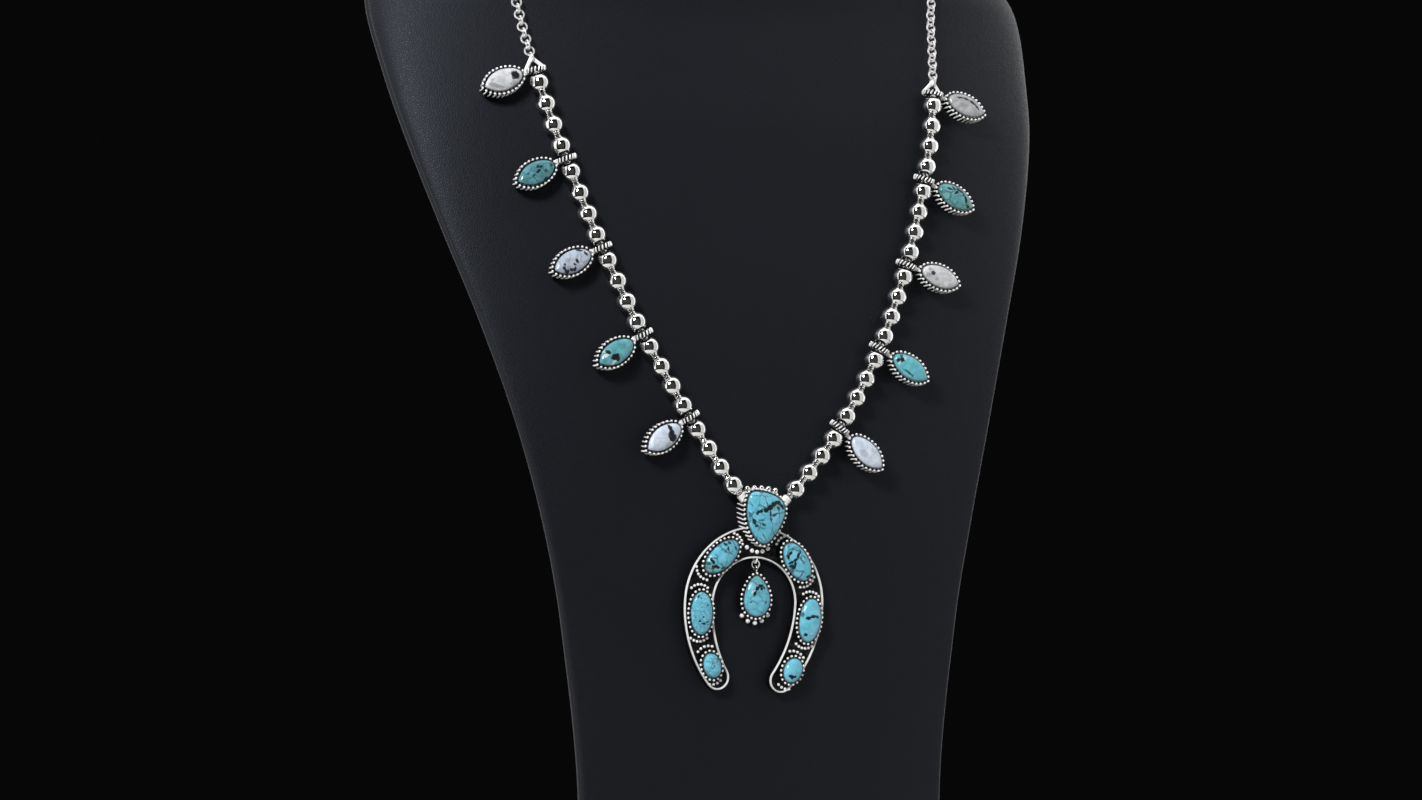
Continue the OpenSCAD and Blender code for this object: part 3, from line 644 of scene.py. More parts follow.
def seam_pull(place, height, angle):
    """How far the seams at both sides of the folded strip pull the skin in."""
    pull = 0
    for seam in (90 - EDGE_ANGLE, 90 + EDGE_ANGLE):
        off = (place - form_at(height, math.copysign(seam, angle))).length
        pull += SEAM_DEPTH * math.exp(-(off / SEAM_WIDTH) ** 2)
    return pull


def skin_ring(height, draw_in=0):
    ring = []
    probe = min(max(height, FOOT_T + 1), FOOT_T + FORM_H - 1)
    for angle in ring_angles():
        place = form_at(height, angle)
        normal = form_normal(probe, max(min(angle, BACK_LIMIT), -BACK_LIMIT))
        level = Vector((normal.x, normal.y, 0)).normalized()
        ring.append(place - level * (seam_pull(place, height, angle) + draw_in))
    return ring


levels = math.ceil(FORM_H / SKIN_STEP)
rings = [skin_ring(FOOT_T + (FORM_H - TOP_ROUND) * k / levels) for k in range(levels + 1)]
for k in range(1, TOP_RINGS + 1):
    over = 90 * k / TOP_RINGS
    height = FOOT_T + FORM_H - TOP_ROUND * (1 - sin_deg(over))
    rings.append(skin_ring(height, TOP_ROUND * (1 - cos_deg(over))))
middle = sum(rings[-1], Vector()) / len(rings[-1])
for share in TOP_SHARES:
    rings.append([middle + (place - middle) * share for place in rings[-1]])
put_in("bust_skin", [loft(rings, LEATHER)], "bust_form", crease=SKIN_CREASE)

# %% [markdown]
# ## The foot
# Below the photograph's edge the bust stands on a plain slab, covered with the same leatherette.
# Its outline is a rectangle with round corners. Rings of that outline, drawn in by a quarter circle
# at the top and bottom, give the soft edge that a covered board has.

# %% Foot
FOOT_SOFT = 2.2
FOOT_STEPS = 5
CORNER_STEPS = 8


def round_box(width, depth, radius):
    points = []
    for quarter, (sx, sy) in enumerate(((1, 1), (-1, 1), (-1, -1), (1, -1))):
        for k in range(CORNER_STEPS + 1):
            angle = 90 * quarter + 90 * k / CORNER_STEPS
            across = sx * (width / 2 - radius) + radius * cos_deg(angle)
            points.append((across, sy * (depth / 2 - radius) + radius * sin_deg(angle)))
    return points


def foot_ring(angle, top):
    """The outline at an angle of the quarter circle that rounds the top or the bottom edge."""
    inset = FOOT_SOFT * (1 - sin_deg(angle))
    rise = FOOT_SOFT * (1 - cos_deg(angle))
    height = FOOT_T - rise if top else rise
    outline = round_box(FOOT_W - 2 * inset, FOOT_D - 2 * inset, FOOT_R - inset)
    return [(x, y, height) for x, y in outline]


turns = [90 * k / FOOT_STEPS for k in range(FOOT_STEPS + 1)]
foot_rings = [foot_ring(angle, False) for angle in turns]
foot_rings += [foot_ring(angle, True) for angle in reversed(turns)]
put_in("foot_slab", [loft(foot_rings, LEATHER)], "bust_foot")

# %% [markdown]
# ## The silver
# The necklace shows silver in two states. Beads, lips, drops and rims are polished to a mirror. Down
# in the grooves and on the beds the silver was darkened with liver of sulphur and left there, so that
# every raised dot stands out. So there is a bright finish with fine wiping marks and a dark one,
# uneven where the patina is thinner. Beaded wire and ribs get a whiter, frosted skin, which silver
# has where a polishing wheel can't reach, and the lip round a stone is half dark.
# All of them are nearly neutral in colour, because silver takes its colour from the room.

# %% Silver finishes
HAZE = 260.0
WIPE_TURN = (0.4, 0.2, 0.7)
WIPE_STRETCH = (1.0, 7.0, 1.0)
WIPES = 2100.0
WIPE_DEPTH = 0.00002
WIPE_BUMP = 0.05
HAZE_TONE = 0.93
PATINA_CLOUDS = 900.0
PATINA_EDGE = (0.45, 0.72)
PATINA_ROUGH = (0.5, 0.3)
PATINA_BUMP = 0.3
PATINA_DEPTH = 0.00008
PATINA_METAL = 0.85
COOL_TONE = (0.97, 0.965, 0.955, 1)


def polished_silver(name, tone, rough_low, rough_high, metal=1.0):
    """Silver a little uneven in its polish, with very fine wiping marks; less metal looks frosted."""
    material, tree, shader = finish(name)
    where = object_place(tree)
    haze = noise(tree, where, HAZE, 3.0)["Fac"]
    wipes = add(tree, "ShaderNodeMapping", {"Vector": where, "Rotation": WIPE_TURN, "Scale": WIPE_STRETCH})
    marks = noise(tree, wipes.outputs[0], WIPES, 2.0)["Fac"]
    pale = tuple(value * HAZE_TONE for value in tone[:3]) + (1,)
    rough = ranged(tree, haze, rough_low, rough_high)
    dress(tree, shader, mixed(tree, haze, pale, tone), rough, marks, WIPE_BUMP, WIPE_DEPTH)
    shader.inputs["Metallic"].default_value = metal
    return material


def darkened_silver(name, deep, worn):
    """Patina: dark and dull in most places, thinner and brighter in small patches."""
    material, tree, shader = finish(name)
    clouds = noise(tree, object_place(tree), PATINA_CLOUDS, 5.0, 0.65)["Fac"]
    patch = ranged(tree, clouds, 0.0, 1.0, *PATINA_EDGE)
    rough = ranged(tree, patch, *PATINA_ROUGH)
    dress(tree, shader, mixed(tree, patch, deep, worn), rough, clouds, PATINA_BUMP, PATINA_DEPTH)
    shader.inputs["Metallic"].default_value = PATINA_METAL
    return material


BRIGHT = polished_silver("mirror_silver", (0.97, 0.965, 0.95, 1), 0.04, 0.10)
RAISED = polished_silver("raised_silver", COOL_TONE, 0.24, 0.34, 0.2)
SOFT = polished_silver("soft_silver", COOL_TONE, 0.16, 0.24, 0.55)
LIP = polished_silver("lip_silver", (0.30, 0.30, 0.31, 1), 0.12, 0.25)
PATINA = darkened_silver("patina_silver", (0.006, 0.006, 0.007, 1), (0.045, 0.045, 0.05, 1))
WIRE = polished_silver("stringing_wire", (0.45, 0.45, 0.47, 1), 0.25, 0.4)
print("finishes:", [material.name for material in (BRIGHT, RAISED, SOFT, LIP, PATINA, WIRE)])

# %% [markdown]
# ## Trees for the silversmith's small parts
# A silversmith builds such a piece from stock: beaded and twisted wire, thin strip bent on edge
# round a stone, sawn plate, and raindrops, which are small melted balls. All of it repeats or follows
# an outline, so each kind of stock is one node tree, and the outline is its base.
# The first tree sets an oval stud along a closed line: laid flat it is beaded wire, and stood up and
# slanted it is the side of a twisted wire.

# %% Tree: studs along an outline
STUD_TREE, given = shape_tree("studs_on_outline", ["Pitch", "Along", "Across", "Tall", "Slant"])
line = add(STUD_TREE, "GeometryNodeMeshToCurve", {0: given["Geometry"]})
length = add(STUD_TREE, "GeometryNodeCurveLength", {0: line.outputs[0]})
share = add(STUD_TREE, "ShaderNodeMath", {0: length.outputs[0], 1: given["Pitch"]}, operation="DIVIDE")
count = add(STUD_TREE, "ShaderNodeMath", {0: share.outputs[0]}, operation="ROUND")
even = add(STUD_TREE, "GeometryNodeResampleCurve", {"Curve": line.outputs[0], "Count": count.outputs[0]})
tangent = STUD_TREE.nodes.new("GeometryNodeInputTangent")
upright = add(
    STUD_TREE, "FunctionNodeAxesToRotation", {0: (0, 0, 1), 1: tangent.outputs[0]},
    primary_axis="Z", secondary_axis="X",
)
slant = add(STUD_TREE, "ShaderNodeCombineXYZ", {"Y": given["Slant"]})
lean = add(STUD_TREE, "FunctionNodeEulerToRotation", {0: slant.outputs[0]})
turned = add(STUD_TREE, "FunctionNodeRotateRotation", {
    0: upright.outputs[0], 1: lean.outputs[0],
}, rotation_space="LOCAL")
size = add(STUD_TREE, "ShaderNodeCombineXYZ", {"X": given["Along"], "Y": given["Across"], "Z": given["Tall"]})
ball = add(STUD_TREE, "GeometryNodeMeshUVSphere", {"Segments": 8, "Rings": 6, "Radius": 0.5})
studs = add(STUD_TREE, "GeometryNodeInstanceOnPoints", {
    "Points": even.outputs[0], "Instance": ball.outputs[0],
    "Rotation": turned.outputs[0], "Scale": size.outputs[0],
})
end_tree(STUD_TREE, given, studs.outputs[0])
print("tree:", STUD_TREE.name, len(STUD_TREE.nodes), "nodes")

# %% [markdown]
# The second tree bends a strip along a closed line: the thin polished lip that is pushed over a
# stone's edge, and the rim of the crescent. The section is a slim oval, as a burnisher leaves it.
# The third one saws a plate: it fills an outline, gives it thickness and closes the underside.

# %% Trees: bent strip and sawn plate
STRIP_TREE, given = shape_tree("strip_on_outline", ["Thick", "Tall"])
line = add(STRIP_TREE, "GeometryNodeMeshToCurve", {0: given["Geometry"]})
level = add(STRIP_TREE, "GeometryNodeSetCurveNormal", {"Curve": line.outputs[0]})
level.mode = "Z_UP"
section = add(STRIP_TREE, "GeometryNodeCurvePrimitiveCircle", {"Resolution": 10, "Radius": 0.5})
measure = add(STRIP_TREE, "ShaderNodeCombineXYZ", {"X": given["Thick"], "Y": given["Tall"], "Z": 1.0})
oval_cut = add(STRIP_TREE, "GeometryNodeTransform", {
    "Geometry": section.outputs[0], "Scale": measure.outputs[0],
})
strip = add(STRIP_TREE, "GeometryNodeCurveToMesh", {
    "Curve": level.outputs[0], "Profile Curve": oval_cut.outputs[0],
})
end_tree(STRIP_TREE, given, strip.outputs[0])

PLATE_TREE, given = shape_tree("sawn_plate", ["Thickness"])
line = add(PLATE_TREE, "GeometryNodeMeshToCurve", {0: given["Geometry"]})
sheet = add(PLATE_TREE, "GeometryNodeFillCurve", {"Curve": line.outputs[0]}, mode="NGONS")
up = add(PLATE_TREE, "ShaderNodeCombineXYZ", {"Z": given["Thickness"]})
raised = add(PLATE_TREE, "GeometryNodeExtrudeMesh", {"Mesh": sheet.outputs[0], "Offset": up.outputs[0]})
raised.inputs["Individual"].default_value = False
under = add(PLATE_TREE, "GeometryNodeFlipFaces", {"Mesh": sheet.outputs[0]})
both = add(PLATE_TREE, "GeometryNodeJoinGeometry")
PLATE_TREE.links.new(raised.outputs["Mesh"], both.inputs[0])
PLATE_TREE.links.new(under.outputs[0], both.inputs[0])
closed = add(PLATE_TREE, "GeometryNodeMergeByDistance", {"Geometry": both.outputs[0], "Distance": 0.001})
end_tree(PLATE_TREE, given, closed.outputs[0])
print("trees:", STRIP_TREE.name, PLATE_TREE.name)

# %% [markdown]
# The next tree drops a melted ball on each of a set of points, as raindrops are soldered on a bed.
# The other three hang shapes on the route: a round bead, the short neck in its bore, and a ring of
# round wire, which is a link of the chain and also the rim of a bead's collar.
# Each point of their base carries its own turn.

# %% Trees: raindrops, strung beads and links


def halved(tree, size):
    return add(tree, "ShaderNodeMath", {0: size, 1: 0.5}, operation="MULTIPLY").outputs[0]


def hang(tree, given, shape):
    """Ends a tree with one shape on each point, turned as the point says."""
    turn = add(tree, "GeometryNodeInputNamedAttribute", {"Name": "turn"}, data_type="QUATERNION")
    hung = add(tree, "GeometryNodeInstanceOnPoints", {
        "Points": given["Geometry"], "Instance": shape.outputs[0], "Rotation": turn.outputs[0],
    })
    end_tree(tree, given, hung.outputs[0])
    print("tree:", tree.name)


DROP_TREE, given = shape_tree("raindrops", ["Radius"])
hang(DROP_TREE, given, add(DROP_TREE, "GeometryNodeMeshUVSphere", {
    "Segments": 12, "Rings": 8, "Radius": given["Radius"],
}))

BEAD_TREE, given = shape_tree("strung_beads", ["Bead"])
hang(BEAD_TREE, given, add(BEAD_TREE, "GeometryNodeMeshUVSphere", {
    "Segments": 28, "Rings": 18, "Radius": halved(BEAD_TREE, given["Bead"]),
}))

NECK_TREE, given = shape_tree("strung_necks", ["Neck", "Length"])
hang(NECK_TREE, given, add(NECK_TREE, "GeometryNodeMeshCylinder", {
    "Vertices": 14, "Radius": halved(NECK_TREE, given["Neck"]), "Depth": given["Length"],
}))

LINK_TREE, given = shape_tree("wire_links", ["Ring radius", "Wire"])
way = add(LINK_TREE, "GeometryNodeCurvePrimitiveCircle", {"Resolution": 16, "Radius": given["Ring radius"]})
cut = add(LINK_TREE, "GeometryNodeCurvePrimitiveCircle", {
    "Resolution": 6, "Radius": halved(LINK_TREE, given["Wire"]),
})
hang(LINK_TREE, given, add(LINK_TREE, "GeometryNodeCurveToMesh", {
    "Curve": way.outputs[0], "Profile Curve": cut.outputs[0],
}))

# %% [markdown]
# ## The strung beads
# Twenty hollow round beads a side run on a steel wire, four between two blossoms. Each is pressed
# from two domes, so it has a small collar round the hole at each end; where two beads meet, the
# collars show as two thin bright rings with a dark line beside them. The beads are set at their lengths
# along the route, with the bore, their Z, along the strand.

# %% Beads and wire
BEAD_D = 6.2
COLLAR_D = 2.5
BEAD_L = 6.55
RUN_BEADS = 4
RING_T = 1.4
TUBE_L = 2.6
GAP = 0.22
SIDE_BLOSSOMS = 5
COLLAR_WIRE = 0.48
NECK_D = 2.3
SIDE_NAMES = {-1: "left", 1: "right"}

bead_pitch = BEAD_L + GAP
run_l = RUN_BEADS * bead_pitch + RING_T + GAP
strand_start = TUBE_L + GAP
top_ring_s = strand_start + SIDE_BLOSSOMS * run_l - (RING_T + GAP) / 2


def bead_s(i):
    return strand_start + (i // RUN_BEADS) * run_l + (i % RUN_BEADS + 0.5) * bead_pitch


def ring_s(i):
    """The middle of a blossom's ring, counted from the topmost down."""
    return top_ring_s - i * run_l


def wire_rings(places, radius, wire, material, place=None):
    """Round rings of wire, one at each place."""
    return run_tree(LINK_TREE, points_mesh(places), material, place, **{"Ring radius": radius, "Wire": wire})


for side, word in SIDE_NAMES.items():
    places = [on_route(side, bead_s(i)) @ turn_deg(90, "X") for i in range(RUN_BEADS * SIDE_BLOSSOMS)]
    rims = [place @ moved(0, 0, end * (BEAD_L - COLLAR_WIRE) / 2) for place in places for end in (-1, 1)]
    string = [
        run_tree(BEAD_TREE, points_mesh(places), BRIGHT, Bead=BEAD_D),
        run_tree(NECK_TREE, points_mesh(places), PATINA, Neck=NECK_D, Length=BEAD_L - COLLAR_WIRE),
        wire_rings(rims, (COLLAR_D - COLLAR_WIRE) / 2, COLLAR_WIRE, BRIGHT),
    ]
    put_in(f"strand_beads_{word}", string, f"beads_{word}")
    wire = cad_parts[f"thread_{word}"]
    wire.data.materials.clear()
    wire.data.materials.append(WIRE)

# %% [markdown]
# ## The chain
# From the topmost rings a plain chain of round wire links goes round the neck. In a hung chain every
# second link stands on edge. The links share the length evenly, up to the eyes of the clasp, which
# is hidden behind the neck: here a smooth barrel with a small turned bead at each end.

# %% Chain and clasp
LINK_D = 3.4
LINK_WIRE = 0.55
LINK_SHOW = 0.61
BAIL_H = 4
BAIL_LIFT = 0.12
CLASP_L = 9
CLASP_T = 2.4
CLASP_STEPS = 24
CLASP_END = [
    # radius, height from the end
    (0.05, 0), (0.62, 0), (0.8, 0.2), (0.62, 0.5), (CLASP_T / 2 - 0.25, 0.6), (CLASP_T / 2, 1.1),
]

link_r = (LINK_D - LINK_WIRE) / 2
link_reach = LINK_D - 2 * LINK_WIRE - GAP
first_link_s = top_ring_s + BAIL_H + BAIL_LIFT
clasp_eye_s = ROUTES[1][-1][0] - CLASP_L / 2
link_count = math.ceil((clasp_eye_s - first_link_s) / link_reach)
link_pitch = (clasp_eye_s - first_link_s) / link_count
left_more = ROUTES[-1][-1][0] - ROUTES[1][-1][0]

for side, word in SIDE_NAMES.items():
    places = []
    for i in range(link_count):
        trim = left_more * i / link_count if side < 0 else 0
        place = on_route(side, first_link_s + i * link_pitch + trim)
        places.append(place @ turn_deg(90 if i % 2 == 0 else 0, "Y"))
    put_in(f"neck_chain_{word}", [wire_rings(places, link_r, LINK_SHOW, SOFT)], f"chain_{word}")

clasp_place = Matrix.Translation((ROUTES[-1][-1][3] + ROUTES[1][-1][3]) / 2) @ turn_deg(90, "Y")
barrel_half = (CLASP_L - LINK_D + LINK_WIRE) / 2
profile = [(radius, height - barrel_half) for radius, height in CLASP_END]
profile += [(radius, -height) for radius, height in reversed(profile)]
eye_axis = "Y" if link_count % 2 == 0 else "X"
clasp_eyes = [moved(0, 0, end * CLASP_L / 2) @ turn_deg(90, eye_axis) for end in (-1, 1)]
eyes = wire_rings(clasp_eyes, link_r, LINK_WIRE, BRIGHT, clasp_place)
put_in("barrel_clasp", [lathe(profile, CLASP_STEPS, BRIGHT, clasp_place), eyes], "clasp")
print("links a side:", link_count)

# %% [markdown]
# ## The blossoms' settings
# Ten blossoms hang outwards from the strands. Each is a pointed cup for a long stone: a floor plate,
# a dark wall with slanted ribs of twisted wire, a row of beads on top of it and, inside that row, the
# thin, half dark lip that holds the stone. A ribbed ring round the strand carries it, and at the
# topmost ring a small open triangle takes the chain.
# All lines come from one outline, grown outwards by a few tenths of a millimetre for each part. Each
# kind of wire has its sizes written once, by the names of the tree's inputs.

# %% Outlines of the settings
BLOSSOM_L = 12.6
BLOSSOM_W = 6.6
BLOSSOM_CUP_H = 4
BLOSSOM_REACH = 5
CUP_WALL = 1.1
LIP_H = 0.5
SEAT_DEPTH = 1.6
STONE_PLAY = 0.06
DROOP = {-1: [9, 7, 3, 4, 3], 1: [13, 17, 1, 8, 12]}
RING_LEAN = {-1: [12, 4, 0, 0, -5], 1: [15, 15, 15, 15, 15]}
STAND_OFF = {-1: 1, 1: 6}
FINE = 84
WALL_OUT = 0.55
SHOULDER = [(-0.2, 0), (-0.05, -0.08), (0, -0.25)]
STUD_OUT = 0.76
STUD_LIFT = 0.05
BEADED_WIRE = {"Pitch": 1.42, "Along": 0.84, "Across": 0.72, "Tall": 0.76, "Slant": 0.0}
RIB_OUT = 0.7
CUP_RIBS = {"Pitch": 1.42, "Along": 0.5, "Across": 0.72, "Slant": 0.16}
LIP_OUT = 0.14
LIP_DOWN = 0.6
LIP_STRIP = {"Thick": 0.3, "Tall": 1.2}
POINT_POWER = 1.33
POINT_TAPER = 0.27


def grow(points, d):
    """An anticlockwise outline moved outwards by d."""
    count = len(points)
    grown = []
    for i in range(count):
        ahead = points[(i + 1) % count]
        behind = points[i - 1]
        dx = ahead[0] - behind[0]
        dy = ahead[1] - behind[1]
        size = math.hypot(dx, dy)
        grown.append((points[i][0] + d * dy / size, points[i][1] - d * dx / size))
    return grown


def marquise(long, wide):
    """Pointed at +X and blunter at -X."""
    points = []
    for k in range(FINE):
        angle = 360 * k / FINE
        power = POINT_POWER + POINT_TAPER * cos_deg(angle)
        y = wide / 2 * abs(sin_deg(angle)) ** power
        points.append((long / 2 * cos_deg(angle), -y if angle > 180 else y))
    return points


def oval(long, wide):
    return [(wide / 2 * cos_deg(360 * k / FINE), long / 2 * sin_deg(360 * k / FINE)) for k in range(FINE)]


def wall(points, low, high, material, place):
    """A plain wall with a soft shoulder at its top."""
    rings = [(low, 0)] + [(high + down, d) for down, d in SHOULDER]
    return loft([[(x, y, z) for x, y in grow(points, d)] for z, d in rings], material, place)


def setting(points, low, high, ribs, place):
    """Wall, ribs or beads and lip round one stone; low and high are the cup's ends."""
    step = high - LIP_H
    made = [wall(grow(points, WALL_OUT), low, step, PATINA, place)]
    beaded = outline_mesh(grow(points, STUD_OUT), step + STUD_LIFT)
    made.append(run_tree(STUD_TREE, beaded, RAISED, place, **BEADED_WIRE))
    if ribs:
        ribbed = outline_mesh(grow(points, RIB_OUT), (low + step) / 2)
        made.append(run_tree(STUD_TREE, ribbed, RAISED, place, Tall=step - low, **CUP_RIBS))
    lip = outline_mesh(grow(points, LIP_OUT), high - LIP_DOWN)
    made.append(run_tree(STRIP_TREE, lip, LIP, place, **LIP_STRIP))
    return made


def blossom_place(side, i):
    droop = 180 + DROOP[side][i] if side < 0 else -DROOP[side][i]
    return on_route(side, ring_s(i)) @ turn_deg(droop, "Z") @ turn_deg(-STAND_OFF[side], "Y")


print("outline points:", FINE)

# %% [markdown]
# The ring is a short twisted wire bent round the strand: a dark core with slanted ribs. The same tree
# as for the beaded wire makes it, with the studs stood up across the ring and slanted.
# The triangle is a flat band, so its legs are lofted with a flat oval section and meet under a small
# melted knot at the top.

# %% Rings and bails
BAIL_W = 6.2
BAIL_WIRE = 0.65
LEG_HALF_W = 0.6
LEG_HALF_T = 0.3
LEG_STEPS = 4
LEG_SIDES = 12
LEG_FOOT = 0.5
KNOT_R = 0.46
RING_CORE = [(1.6, -0.5), (2.85, -0.5), (3.05, -0.35), (3.05, 0.35), (2.85, 0.5), (1.6, 0.5)]
CORE_STEPS = 36
RING_RIB_R = 3.08
RING_STEPS = 48
RING_RIBS = {"Pitch": 1.15, "Along": 0.52, "Across": 0.66, "Tall": 1.75, "Slant": 0.36}
NECK_IN = 0.4
NECK_END_R = 0.65
NECK_WAIST_R = 0.55
NECK_STEPS = 16
AXIS_R = 0.05


def ring_parts(side, i):
    """The ribbed ring round the strand, leaning a little out of square as it hangs."""
    flat = on_route(side, ring_s(i)) @ turn_deg(90 + RING_LEAN[side][i], "X")
    circle = [on_circle(RING_RIB_R, 360 * k / RING_STEPS) for k in range(RING_STEPS)]
    ribs = run_tree(STUD_TREE, outline_mesh(circle), RAISED, flat, **RING_RIBS)
    return [lathe(RING_CORE, CORE_STEPS, PATINA, flat), ribs]


def leg(start, end, place):
    """One leg of the bail: a flat oval band from start to end."""
    way = (end - start).normalized()
    side = Vector((-way.y, way.x, 0))
    rings = []
    for k in range(LEG_STEPS + 1):
        middle = start.lerp(end, k / LEG_STEPS)
        rings.append([])
        for j in range(LEG_SIDES):
            angle = 360 * j / LEG_SIDES
            out = Vector((0, 0, LEG_HALF_T * sin_deg(angle)))
            rings[-1].append(middle + side * LEG_HALF_W * cos_deg(angle) + out)
    return loft(rings[::-1], RAISED, place)


def bail_parts(place):
    apex = Vector((0, BAIL_H, 0))
    foot = (BAIL_W - BAIL_WIRE) / 2
    made = [leg(Vector((x, LEG_FOOT, 0)), apex, place) for x in (-foot, foot)]
    made.append(run_tree(DROP_TREE, points_mesh([moved(*apex)]), RAISED, place, Radius=KNOT_R))
    return made


blossom_mid = BLOSSOM_REACH + BLOSSOM_L / 2
blossom_low = -BLOSSOM_CUP_H / 2
neck_l = BLOSSOM_REACH - RING_D / 2 + NECK_IN
neck = [
    (AXIS_R, 0), (NECK_END_R, 0), (NECK_WAIST_R, neck_l / 2), (NECK_END_R, neck_l), (AXIS_R, neck_l),
]
for side, word in SIDE_NAMES.items():
    for i in range(SIDE_BLOSSOMS):
        place = blossom_place(side, i)
        cup_place = place @ moved(blossom_mid, 0, blossom_low)
        parts = setting(marquise(BLOSSOM_L, BLOSSOM_W), 0, BLOSSOM_CUP_H, True, cup_place)
        neck_place = place @ moved(RING_D / 2 - NECK_IN, 0, 0) @ turn_deg(90, "Y")
        parts.append(lathe(neck, NECK_STEPS, RAISED, neck_place))
        parts += ring_parts(side, i)
        if i == 0:
            parts += bail_parts(on_route(side, ring_s(i)))
        put_in(f"blossom_setting_{word}_{i + 1}", parts, f"blossom_{word}_{i + 1}")

# %% [markdown]
# ## The naja
# The crescent is sawn from thick plate, with a polished rim soldered along both of its edges. On its
# dark bed stand six oval cups, each with beaded wire round it, and little bows of raindrops
# fill the ends between them. Over its top stands the tall cup of the shield-shaped stone.
# The piece is modelled flat, X across, Y up and Z to the front, and then hung in its place as the
# measured one is.

# %% Sizes of the naja
NAJA_R = 23.3
NAJA_BAND = 9.8
ARM_R = 38
ARM_END_R = 3.9
NAJA_BED = 2.3
RIM_H = 0.7
NAJA_DROP = 32.4
NAJA_TILT = 4
NAJA_SHIFT = 4
NAJA_Z = 168
NAJA_CUP_H = 2.2
SHIELD_W = 12.9
SHIELD_H = 15.3
SHIELD_CUP_H = 6.4
SHIELD_TOP = 1
TUBE_D = 2.9
NAJA_STONES = [
    # across, up, long, wide, lean, drops above, drops below
    [-12.5, 13.5, 13.2, 7.0, -46, 5, 6],
    [-18.1, -3.8, 12.8, 7.0, 3, 6, 6],
    [-13.5, -19.3, 7.5, 5.6, 22, 5, 4],
    [12.7, 13.3, 12.8, 7.2, 37, 5, 6],
    [18.2, -4.2, 13.0, 6.9, -5, 6, 6],
    [13.5, -19.6, 7.5, 5.8, -20, 5, 4],
]
RAINDROP_R = 0.55
RAINDROP_SHOW = 0.46
RAINDROP_SINK = 0.2
SHIELD = [
    [-0.40, 0.47], [0.02, 0.50], [0.40, 0.37], [0.50, 0.12],
    [0.33, -0.25], [0.04, -0.50], [-0.27, -0.33], [-0.46, 0.05],
]
SHIELD_STEPS = 9
CRESCENT_STEPS = (30, 18, 12, 16, 24)
END_TURN = 12
CROWN_DROPS = 5
CROWN_DROP_R = 1
CROWN_STEP = 2.35
CROWN_BOW = -0.02
CROWN_OUT = 0.3
SMILE_DROPS = 5
SMILE_DROP_R = 0.7
SMILE_STEP = 1.75
SMILE_BOW = 0.1
SMILE_OUT = 1.5

naja_y = form_at(NAJA_Z - NAJA_DROP, 0).y - REST_GAP
NAJA_PLACE = moved(-NAJA_SHIFT, naja_y, NAJA_Z) @ turn_deg(NAJA_TILT, "Y") @ turn_deg(90, "X")
shield_up = SHIELD_TOP - SHIELD_H / 2
inner_r = NAJA_R - NAJA_BAND


def arc(middle, radius, start, end, steps):
    points = []
    for k in range(steps + 1):
        x, y = on_circle(radius, start + (end - start) * k / steps)
        points.append((middle[0] + x, middle[1] + y))
    return points


def crescent(inset):
    """Outline of the crescent, drawn in by inset all round."""
    outer_c = (NAJA_R - ARM_R, -NAJA_DROP)
    inner_c = (inner_r - ARM_R, -NAJA_DROP)
    far = ARM_R - ARM_END_R
    near = ARM_R + ARM_END_R
    x = (near ** 2 - far ** 2 + NAJA_BAND ** 2) / (2 * NAJA_BAND)
    end_c = (inner_c[0] + x, -NAJA_DROP - math.sqrt(near ** 2 - x ** 2))
    outer_a = math.degrees(math.atan2(end_c[1] - outer_c[1], end_c[0] - outer_c[0]))
    inner_a = math.degrees(math.atan2(end_c[1] - inner_c[1], end_c[0] - inner_c[0]))
    steps = CRESCENT_STEPS
    half = arc((0, -NAJA_DROP), NAJA_R - inset, 90, 3, steps[0])
    half += arc(outer_c, ARM_R - inset, 0, outer_a, steps[1])
    half += arc(end_c, ARM_END_R - inset, outer_a - END_TURN, inner_a + END_TURN - 180, steps[2])
    half += arc(inner_c, ARM_R + inset, inner_a, 0, steps[3])
    half += arc((0, -NAJA_DROP), inner_r + inset, 4, 90, steps[4])
    return half + [(-x, y) for x, y in half[-2:0:-1]]


def shield():
    points = []
    count = len(SHIELD)
    for k in range(count * SHIELD_STEPS):
        u = count - k / SHIELD_STEPS
        i = math.floor(u)
        near_points = [SHIELD[(i + n) % count] for n in (-1, 0, 1, 2)]
        x, y = [between_four(*[point[axis] for point in near_points], u - i) for axis in (0, 1)]
        points.append((x * SHIELD_W, y * SHIELD_H))
    return points


print("crescent points:", len(crescent(0)), "shield points:", len(shield()))

# %% [markdown]
# Plate, rims, cups and drops are now made with the same trees as before, each at its own height over
# the bed, and joined to one piece as the solder joins them.

# %% Naja plate, cups and raindrops
RIM_IN = 0.36
RIM_UP = 0.12
RIM_STRIP = {"Thick": 0.6, "Tall": 1.2}
PLATE_IN = 0.06
EYE_R = 0.95
EYE_IN = 0.4
JUMP_WIRE = 0.6
TUBE_SOFT = 0.15
TUBE_BORE_R = 0.7
TUBE_STEPS = 24
CUP_SUNK = 0.2
BOW_OUT = 0.5
BOW_GAP = 0.3


def drops_at(centres, radius, material, place):
    spots = points_mesh([moved(*centre) for centre in centres])
    return run_tree(DROP_TREE, spots, material, place, Radius=radius)


def end_bow(long, wide, count, end):
    """Middles of the raindrops in a bow round one end of a stone."""
    out = CUP_WALL + RAINDROP_R + BOW_OUT
    step = 360 * (2 * RAINDROP_R + BOW_GAP) / (math.pi * ((wide + long) / 2 + 2 * out))
    bow = []
    for k in range(count):
        angle = 90 + (k - (count - 1) / 2) * step
        x = (wide / 2 + out) * cos_deg(angle)
        bow.append((x, end * (long / 2 + out) * sin_deg(angle), RAINDROP_R - RAINDROP_SINK))
    return bow


def row_of(count, step, up, bow):
    """Middles of a row of drops over the bed, bent by bow."""
    across = [(k - (count - 1) / 2) * step for k in range(count)]
    return [(x, up + bow * x ** 2, NAJA_BED) for x in across]


